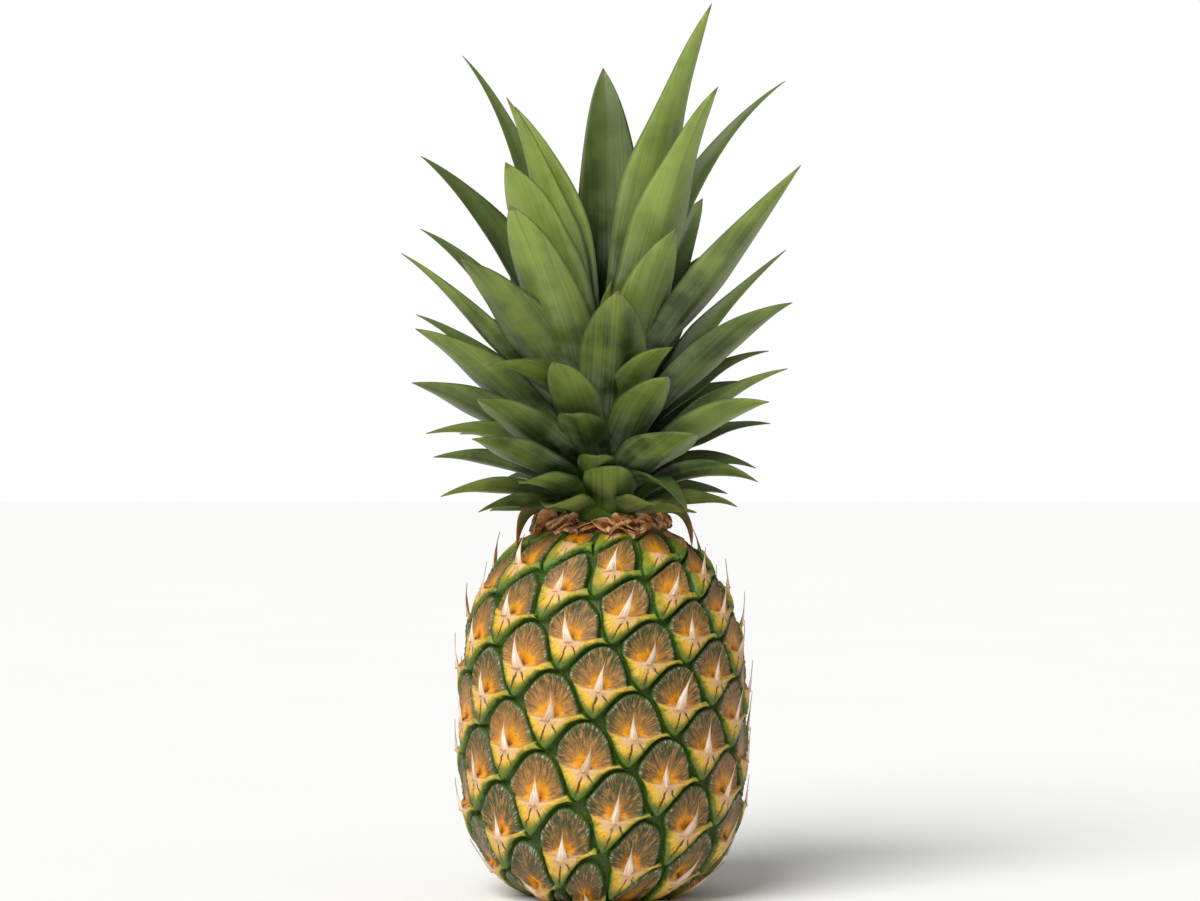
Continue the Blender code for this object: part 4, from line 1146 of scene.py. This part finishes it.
def waxy_leaf(looks):
    """Thick leathery leaf: satin, with fine lengthwise veins and a pale waxy bloom.

    The bloom lies in patches near the root, over painted shade that darkens the root. The inner face
    is darker, the margins are thin and dark, and the point is dry. Leaves of the skirt
    are fresh green at the root.
    """
    material, tree, shader = new_material("waxy_leaf")
    place = add(tree, SPLIT, (add(
        tree, ATTRIBUTE, attribute_name="blade_place", output="Vector"),)).node.outputs
    metres = add(tree, ATTRIBUTE, attribute_name="blade_metres", output="Vector")
    rank = add(tree, SPLIT, (add(
        tree, ATTRIBUTE, attribute_name="blade_rank", output="Vector"),)).node.outputs
    object_place = add(tree, OBJECT_PLACE, output="Object")
    seed = add(tree, JOIN, (rank[1], rank[2], rank[1]))
    seed = add(tree, VECTOR_MATH, (seed, (17.0, 23.0, 9.0)), **TIMES)

    # Veins about 0.8 mm apart, and bands 3 to 5 mm wide, all lengthwise
    veins = add(tree, VECTOR_MATH, (metres, (1200.0, 12.0, 1.0)), **TIMES)
    veins = add(tree, VECTOR_MATH, (veins, seed), **PLUS)
    veins = add(tree, NOISE, {"Vector": veins, "Scale": 1.0, "Detail": 3.0, "Roughness": 0.6})
    bands = add(tree, VECTOR_MATH, (metres, (230.0, 8.0, 1.0)), **TIMES)
    bands = add(tree, VECTOR_MATH, (bands, seed), **PLUS)
    bands = add(tree, NOISE, {"Vector": bands, "Scale": 1.0, "Detail": 3.0, "Roughness": 0.55})
    clouds = add(tree, NOISE, {"Vector": object_place, "Scale": 70.0, "Detail": 4.0})
    grain = add(tree, NOISE, {"Vector": object_place, "Scale": 1500.0, "Detail": 2.0})

    # Each leaf has its own tone, lighter in the upper crown, and lighter towards its end because
    # painted shade darkens its root
    tone = add(tree, MATH, (rank[1], 0.45, add(
        tree, MAP, (bands, 0.3, 0.7, -0.42, -0.10))), **TIMES_PLUS)
    tone = add(tree, MATH, (add(tree, MAP, (clouds, 0.35, 0.65, -0.20, 0.16)), tone), **PLUS)
    tone = add(tree, MATH, (rank[0], 0.35, tone), **TIMES_PLUS)
    # Painted shade: the tone falls towards the leaf's root
    tone = add(tree, MATH, (place[1], 0.60, tone), **TIMES_PLUS)
    margin = add(tree, MATH, (place[0],), operation="ABSOLUTE")
    near_root = add(tree, MATH, (bands, -0.4, place[1]), **TIMES_PLUS)
    low_rank = add(tree, MAP, (rank[0], 0.45, 0.0, 0.0, 0.9), **SOFT)
    fresh = add(tree, MAP, (near_root, 0.16, -0.20, 0.0, 1.0), **SOFT)
    fresh = add(tree, MATH, (fresh, low_rank), **TIMES)
    bloom = add(tree, MAP, (near_root, 0.45, -0.05, 0.05, 0.75), **SOFT)
    for bound in ((clouds, 0.36, 0.60, 0.0, 1.0), (veins, 0.32, 0.60, 0.25, 1.0)):
        bloom = add(tree, MATH, (bloom, add(tree, MAP, bound, **SOFT)), **TIMES)
    yellowed = add(tree, MAP, (clouds, 0.50, 0.70, 0.0, 0.45), **SOFT)
    point = add(tree, MATH, (grain, 0.02, place[1]), **TIMES_PLUS)
    colour = add(tree, MIX, {0: tone, 6: tuple(looks.dark), 7: tuple(looks.light)},
                 output=2, data_type="RGBA")
    for mask, over in (
            (yellowed, linear("#7d8a30")),
            (add(tree, MAP, (veins, 0.52, 0.68, 0.0, 0.22), **SOFT), linear("#8a9a5c")),
            (add(tree, MAP, (veins, 0.48, 0.34, 0.0, 0.25), **SOFT), linear("#2f4218")),
            (add(tree, MAP, (place[2], 0.0, 1.0, 0.0, 0.6)), linear("#263c16")),
            # Painted shade: near-black green over the leaf's root, where the leaves above shade it
            (add(tree, MAP, (near_root, 0.38, -0.04, 0.0, 0.75), **SOFT), linear("#1f2c14")),
            (bloom, tuple(looks.bloom)),
            (fresh, tuple(looks.lime)),
            (add(tree, MAP, (margin, 0.90, 0.99, 0.0, 0.55), **SOFT), linear("#2a3c16")),
            (add(tree, MAP, (point, 0.975, 0.995, 0.0, 0.9), **SOFT), tuple(looks.tip))):
        colour = add(tree, MIX, {0: mask, 6: colour, 7: over}, output=2, data_type="RGBA")
    tree.links.new(colour, shader.inputs["Base Color"])
    height = add(tree, MATH, (grain, 0.25, veins), **TIMES_PLUS)
    bump = add(tree, BUMP, {"Height": height, "Distance": 0.22 * MM, "Strength": 0.6})
    tree.links.new(bump, shader.inputs["Normal"])
    rough = add(tree, MAP, (clouds, 0.35, 0.65, 0.40, 0.54), **SOFT)
    tree.links.new(rough, shader.inputs["Roughness"])
    shader.inputs["IOR"].default_value = 1.45
    return material


def fresh_stem(looks):
    """Stem under the leaves: dark green and fibrous, fresh green at the neck."""
    material, tree, shader = new_material("fresh_stem")
    object_place = add(tree, OBJECT_PLACE, output="Object")
    level = add(tree, SPLIT, (object_place,)).node.outputs[2]
    grain = add(tree, NOISE, {"Vector": object_place, "Scale": 400.0, "Detail": 3.0})
    colour = tuple(looks.dark)
    for mask, over in (
            (add(tree, MAP, (level, 0.175, 0.158, 0.0, 1.0), **SOFT), tuple(looks.lime)),
            (add(tree, MAP, (grain, 0.5, 0.65, 0.0, 0.5), **SOFT), linear("#3a5a16"))):
        colour = add(tree, MIX, {0: mask, 6: colour, 7: over}, output=2, data_type="RGBA")
    tree.links.new(colour, shader.inputs["Base Color"])
    bump = add(tree, BUMP, {"Height": grain, "Distance": 0.3 * MM, "Strength": 0.6})
    tree.links.new(bump, shader.inputs["Normal"])
    shader.inputs["Roughness"].default_value = 0.6
    return material


class PINEAPPLE_OT_crown(bpy.types.Operator):
    """Makes the crown's leaves and the stem that carries them"""

    bl_idname = "pineapple.crown"
    bl_label = "Crown"

    def execute(self, context):
        looks = context.scene.pineapple_crown
        leaves = rooted_leaves(
            "crown_leaves", all_leaves(), LEAF_SEED, looks.stations, looks.across)
        new_piece("crown_leaves", leaves, waxy_leaf(looks), "leaf", "crown")
        new_piece("crown_stem", make_stem_mesh(), fresh_stem(looks), "leaf", "crown")
        return {"FINISHED"}


# Collar


def shoulder_height(reach):
    """Height of the fruit's rounded shoulder at a distance from the axis."""
    heights = np.arange(WIDEST_HEIGHT, NECK_HEIGHT, MERIDIAN_STEP)
    return np.interp(-reach, -barrel_radius(heights), heights)


def make_collar_mesh():
    """Crumpled dry flaps round the neck: each a short blade, folded and curled.

    Every third flap stands up against the crown, and the others lie over the
    shoulder. Sums of sine waves across and along crumple them, and one across
    tears their ends.
    """
    draw = np.random.default_rng(COLLAR_SEED).random((FLAPS, 6))
    number = np.arange(FLAPS)
    azimuth = FULL_TURN * (number * GOLDEN_FRACTION % 1.0)
    outward = np.stack([np.sin(azimuth), -np.cos(azimuth), np.zeros(FLAPS)], -1)
    upright = number % 3 == 0
    reach = np.where(upright, drawn(UPRIGHT_REACH, draw[:, 0]), drawn(LYING_REACH, draw[:, 0]))
    lying = shoulder_height(reach) + drawn(LYING_LIFT, draw[:, 1])
    tips = outward * reach[:, None]
    tips[:, 2] = np.where(upright, drawn(UPRIGHT_HEIGHT, draw[:, 1]), lying)
    roots = outward * drawn(FLAP_ROOT_REACH, draw[:, 4:5])
    roots[:, 2] = drawn(FLAP_ROOT_HEIGHT, draw[:, 5])
    arch = np.where(upright, drawn(UPRIGHT_ARCH, draw[:, 2]), drawn(LYING_ARCH, draw[:, 2]))
    width = drawn(FLAP_WIDTH, draw[:, 3])
    outer, inner, marks = leaf_surfaces(
        roots, tips, arch, width, FLAP_STATIONS, FLAP_STEPS, draw)
    along = np.linspace(0.0, 1.0, FLAP_STATIONS)[None, :, None]
    across = np.linspace(-1.0, 1.0, FLAP_STEPS)[None, None, :]
    one, two, three = (FULL_TURN * draw[:, k][:, None, None] for k in (0, 1, 2))
    crumple = (np.sin(5.0 * across + one) * np.sin(7.0 * along + two)
               + 0.6 * np.sin(11.0 * across + 6.0 * along + three)) * smooth_step(along / 0.25)
    lift = (FLAP_CRUMPLE * crumple)[..., None] * np.array([0.25, 0.25, 1.0])
    torn = FLAP_TEAR * np.sin(17.0 * across + two) * along**3
    shift = torn[..., None] * (tips - roots)[:, None, None]
    thin = 0.5 * (outer + inner)
    outer = thin + FLAP_THICKNESS * (outer - thin) + lift + shift
    inner = thin + FLAP_THICKNESS * (inner - thin) + lift + shift
    return closed_blades("collar_flaps", outer, inner, marks)


def make_collar_bed_mesh():
    """Bed of matted dry scraps under the flaps: a low ring with a bumpy surface."""
    around, section = 120, 16
    turn = (FULL_TURN * np.arange(around) / around)[:, None]
    tilt = (FULL_TURN * np.arange(section) / section)[None]
    bumps = np.sin(23.0 * turn + 2.0 * tilt) * np.sin(3.0 * tilt + 9.0 * turn)
    bumps = 1.0 + BED_BUMPS * bumps
    reach = BED_RADIUS + BED_WIDTH * np.cos(tilt) * bumps
    height = NECK_HEIGHT + BED_LIFT + BED_HEIGHT * np.sin(tilt) * bumps
    height = height - BED_DROP * np.clip((reach - BED_DROP_FROM) / BED_DROP_RANGE, 0.0, 2.0)
    points = np.stack(np.broadcast_arrays(
        reach * np.sin(turn), -reach * np.cos(turn), height), -1)
    low, side = np.meshgrid(np.arange(around), np.arange(section), indexing="ij")
    next_low, following = (low + 1) % around, (side + 1) % section
    quads = np.stack([
        low * section + side, next_low * section + side,
        next_low * section + following, low * section + following], -1).reshape(-1, 4)
    return new_mesh("collar_bed", points, quads.tolist())


def dry_paper_leaf(looks):
    """Withered leaf: papery, matt, orange-brown, with dark brown patches of painted shade, pale
    patches and bleached edges, darker towards the root.
    """
    material, tree, shader = new_material("dry_paper_leaf")
    object_place = add(tree, OBJECT_PLACE, output="Object")
    patches = add(tree, NOISE, {
        "Vector": object_place, "Scale": 170.0, "Detail": 4.0, "Roughness": 0.65})
    fibres = add(tree, NOISE, {"Vector": object_place, "Scale": 900.0, "Detail": 3.0})
    place = add(tree, SPLIT, (add(
        tree, ATTRIBUTE, attribute_name="blade_place", output="Vector"),)).node.outputs
    margin = add(tree, MATH, (place[0],), operation="ABSOLUTE")
    margin = add(tree, MATH, (margin, place[1]), operation="MAXIMUM")
    margin = add(tree, MATH, (patches, 0.5, margin), **TIMES_PLUS)
    colour = tuple(looks.brown)
    for mask, over in (
            # Painted shade: dark brown patches stand for the shaded gaps and folds between the flaps
            (add(tree, MAP, (patches, 0.46, 0.34, 0.0, 0.85), **SOFT), tuple(looks.shade)),
            (add(tree, MAP, (patches, 0.54, 0.68, 0.0, 0.8), **SOFT), tuple(looks.pale)),
            (add(tree, MAP, (fibres, 0.48, 0.34, 0.0, 0.5), **SOFT), linear("#6e4022")),
            (add(tree, MAP, (margin, 1.05, 1.25, 0.0, 0.8), **SOFT), linear("#e4b880")),
            (add(tree, MAP, (place[1], 0.50, 0.2, 0.0, 0.7), **SOFT), linear("#3c2210"))):
        colour = add(tree, MIX, {0: mask, 6: colour, 7: over}, output=2, data_type="RGBA")
    tree.links.new(colour, shader.inputs["Base Color"])
    height = add(tree, MATH, (patches, 2.0, fibres), **TIMES_PLUS)
    bump = add(tree, BUMP, {"Height": height, "Distance": 0.4 * MM, "Strength": 0.9})
    tree.links.new(bump, shader.inputs["Normal"])
    shader.inputs["Roughness"].default_value = 0.72
    return material


def wilting_leaf(looks):
    """Half-dry leaf: leathery, olive turning brown along its margins and end."""
    material, tree, shader = new_material("wilting_leaf")
    place = add(tree, SPLIT, (add(
        tree, ATTRIBUTE, attribute_name="blade_place", output="Vector"),)).node.outputs
    metres = add(tree, ATTRIBUTE, attribute_name="blade_metres", output="Vector")
    veins = add(tree, VECTOR_MATH, (metres, (900.0, 30.0, 1.0)), **TIMES)
    veins = add(tree, NOISE, {"Vector": veins, "Scale": 1.0, "Detail": 3.0})
    margin = add(tree, MATH, (place[0],), operation="ABSOLUTE")
    colour = linear("#5f6a34")
    for mask, over in (
            (add(tree, MAP, (veins, 0.45, 0.65, 0.0, 0.6), **SOFT), linear("#8a8450")),
            (add(tree, MAP, (margin, 0.6, 0.95, 0.0, 0.8), **SOFT), linear("#7d5a30")),
            (add(tree, MAP, (place[1], 0.7, 1.0, 0.0, 0.9), **SOFT), tuple(looks.brown))):
        colour = add(tree, MIX, {0: mask, 6: colour, 7: over}, output=2, data_type="RGBA")
    tree.links.new(colour, shader.inputs["Base Color"])
    bump = add(tree, BUMP, {"Height": veins, "Distance": 0.3 * MM, "Strength": 0.7})
    tree.links.new(bump, shader.inputs["Normal"])
    shader.inputs["Roughness"].default_value = 0.6
    return material


class PINEAPPLE_OT_collar(bpy.types.Operator):
    """Makes the collar of dried leaves between the fruit and the crown"""

    bl_idname = "pineapple.collar"
    bl_label = "Dry collar"

    def execute(self, context):
        looks = context.scene.pineapple_collar
        material = dry_paper_leaf(looks)
        new_piece("collar_flaps", make_collar_mesh(), material, "dry_bract", "dry_collar")
        new_piece("collar_bed", make_collar_bed_mesh(), material, "dry_bract", "dry_collar")
        wilted = rooted_leaves(
            "wilted_leaves", leaf_table(WILTED_LEAVES), COLLAR_SEED,
            WILTED_STATIONS, WILTED_STEPS, WILTED_BEND)
        new_piece("wilted_leaves", wilted, wilting_leaf(looks), "dry_bract", "dry_collar")
        return {"FINISHED"}


# Stage


def matt_floor(colour):
    """Plain pale matt board, with a faint unevenness of tone."""
    material, tree, shader = new_material("matt_floor")
    object_place = add(tree, OBJECT_PLACE, output="Object")
    tone = add(tree, NOISE, {"Vector": object_place, "Scale": 6.0, "Detail": 2.0})
    tone = add(tree, MAP, (tone, 0.3, 0.7, 0.0, 0.03), **SOFT)
    shade = add(tree, MIX, {0: tone, 6: tuple(colour), 7: linear("#dcdcda")},
                output=2, data_type="RGBA")
    tree.links.new(shade, shader.inputs["Base Color"])
    shader.inputs["Roughness"].default_value = 0.8
    return material


def studio_world(ambient):
    """White surroundings: full white where the camera sees them, dimmer as a light."""
    world = bpy.data.worlds.new("white_studio")
    world.use_nodes = True
    tree = world.node_tree
    seen = add(tree, "ShaderNodeLightPath", output="Is Camera Ray")
    strength = add(tree, MAP, (seen, 0.0, 1.0, ambient, 1.0))
    background = tree.nodes["Background"]
    background.inputs["Color"].default_value = (1.0, 1.0, 1.0, 1.0)
    tree.links.new(strength, background.inputs["Strength"])
    return world


class PINEAPPLE_OT_stage(bpy.types.Operator):
    """Sets the floor, the lamps, the world and the camera"""

    bl_idname = "pineapple.stage"
    bl_label = "Stage"

    def execute(self, context):
        scene = context.scene
        looks = scene.pineapple_stage
        corners = [
            (across * FLOOR_HALF, away * FLOOR_HALF, 0.0)
            for across, away in ((-1.0, -1.0), (1.0, -1.0), (1.0, 1.0), (-1.0, 1.0))]
        floor = bpy.data.objects.new("floor", new_mesh("floor", corners, [(0, 1, 2, 3)]))
        floor.data.materials.append(matt_floor(looks.floor))
        scene.collection.objects.link(floor)

        aim = Vector((looks.aim_across, 0.0, looks.aim_height))
        softbox = bpy.data.lights.new("key_lamp", "SUN")
        softbox.energy = looks.key
        softbox.angle = looks.softness
        key = bpy.data.objects.new("key_lamp", softbox)
        key.rotation_euler = Vector(KEY_DIRECTION).to_track_quat("-Z", "Y").to_euler()
        scene.collection.objects.link(key)
        scene.world = studio_world(looks.ambient)
        scene.view_settings.view_transform = "Standard"

        camera = bpy.data.objects.new("camera", bpy.data.cameras.new("camera"))
        camera.data.lens = looks.lens
        camera.data.sensor_width = SENSOR_WIDTH
        back = Vector((0.0, -math.cos(looks.elevation), math.sin(looks.elevation)))
        camera.location = aim + back * looks.distance
        camera.rotation_euler = (-back).to_track_quat("-Z", "Y").to_euler()
        scene.collection.objects.link(camera)
        scene.camera = camera
        return {"FINISHED"}


class PINEAPPLE_PT_panel(bpy.types.Panel):
    """Lists the pieces of the pineapple, with their sizes and colours."""

    bl_label = "Pineapple"
    bl_idname = "PINEAPPLE_PT_panel"
    bl_space_type = "VIEW_3D"
    bl_region_type = "UI"
    bl_category = "Pineapple"

    def draw(self, context):
        layout = self.layout
        for group, operators in GROUPS:
            box = layout.box()
            for operator in operators:
                box.operator(operator)
            looks = getattr(context.scene, group)
            for name in looks.__annotations__:
                box.prop(looks, name)


GROUPS = (
    ("pineapple_stage", ("pineapple.stage",)),
    ("pineapple_fruit", ("pineapple.fruit", "pineapple.spikes")),
    ("pineapple_collar", ("pineapple.collar",)),
    ("pineapple_crown", ("pineapple.crown",)),
)
LOOKS = {
    "pineapple_stage": PineappleStage,
    "pineapple_fruit": PineappleFruit,
    "pineapple_collar": PineappleCollar,
    "pineapple_crown": PineappleCrown,
}
CLASSES = (
    *LOOKS.values(), PINEAPPLE_OT_stage, PINEAPPLE_OT_fruit, PINEAPPLE_OT_spikes,
    PINEAPPLE_OT_collar, PINEAPPLE_OT_crown, PINEAPPLE_PT_panel)


def register():
    """Registers the classes and hangs their settings on the scene."""
    for kind in CLASSES:
        bpy.utils.register_class(kind)
    for name, kind in LOOKS.items():
        setattr(bpy.types.Scene, name, PointerProperty(type=kind))


def unregister():
    """Takes the settings and the classes away again."""
    for name in LOOKS:
        delattr(bpy.types.Scene, name)
    for kind in reversed(CLASSES):
        bpy.utils.unregister_class(kind)


def main():
    """Makes the stage and every piece."""
    register()
    bpy.ops.pineapple.stage()
    bpy.ops.pineapple.fruit()
    bpy.ops.pineapple.spikes()
    bpy.ops.pineapple.collar()
    bpy.ops.pineapple.crown()


if __name__ == "__main__":
    main()
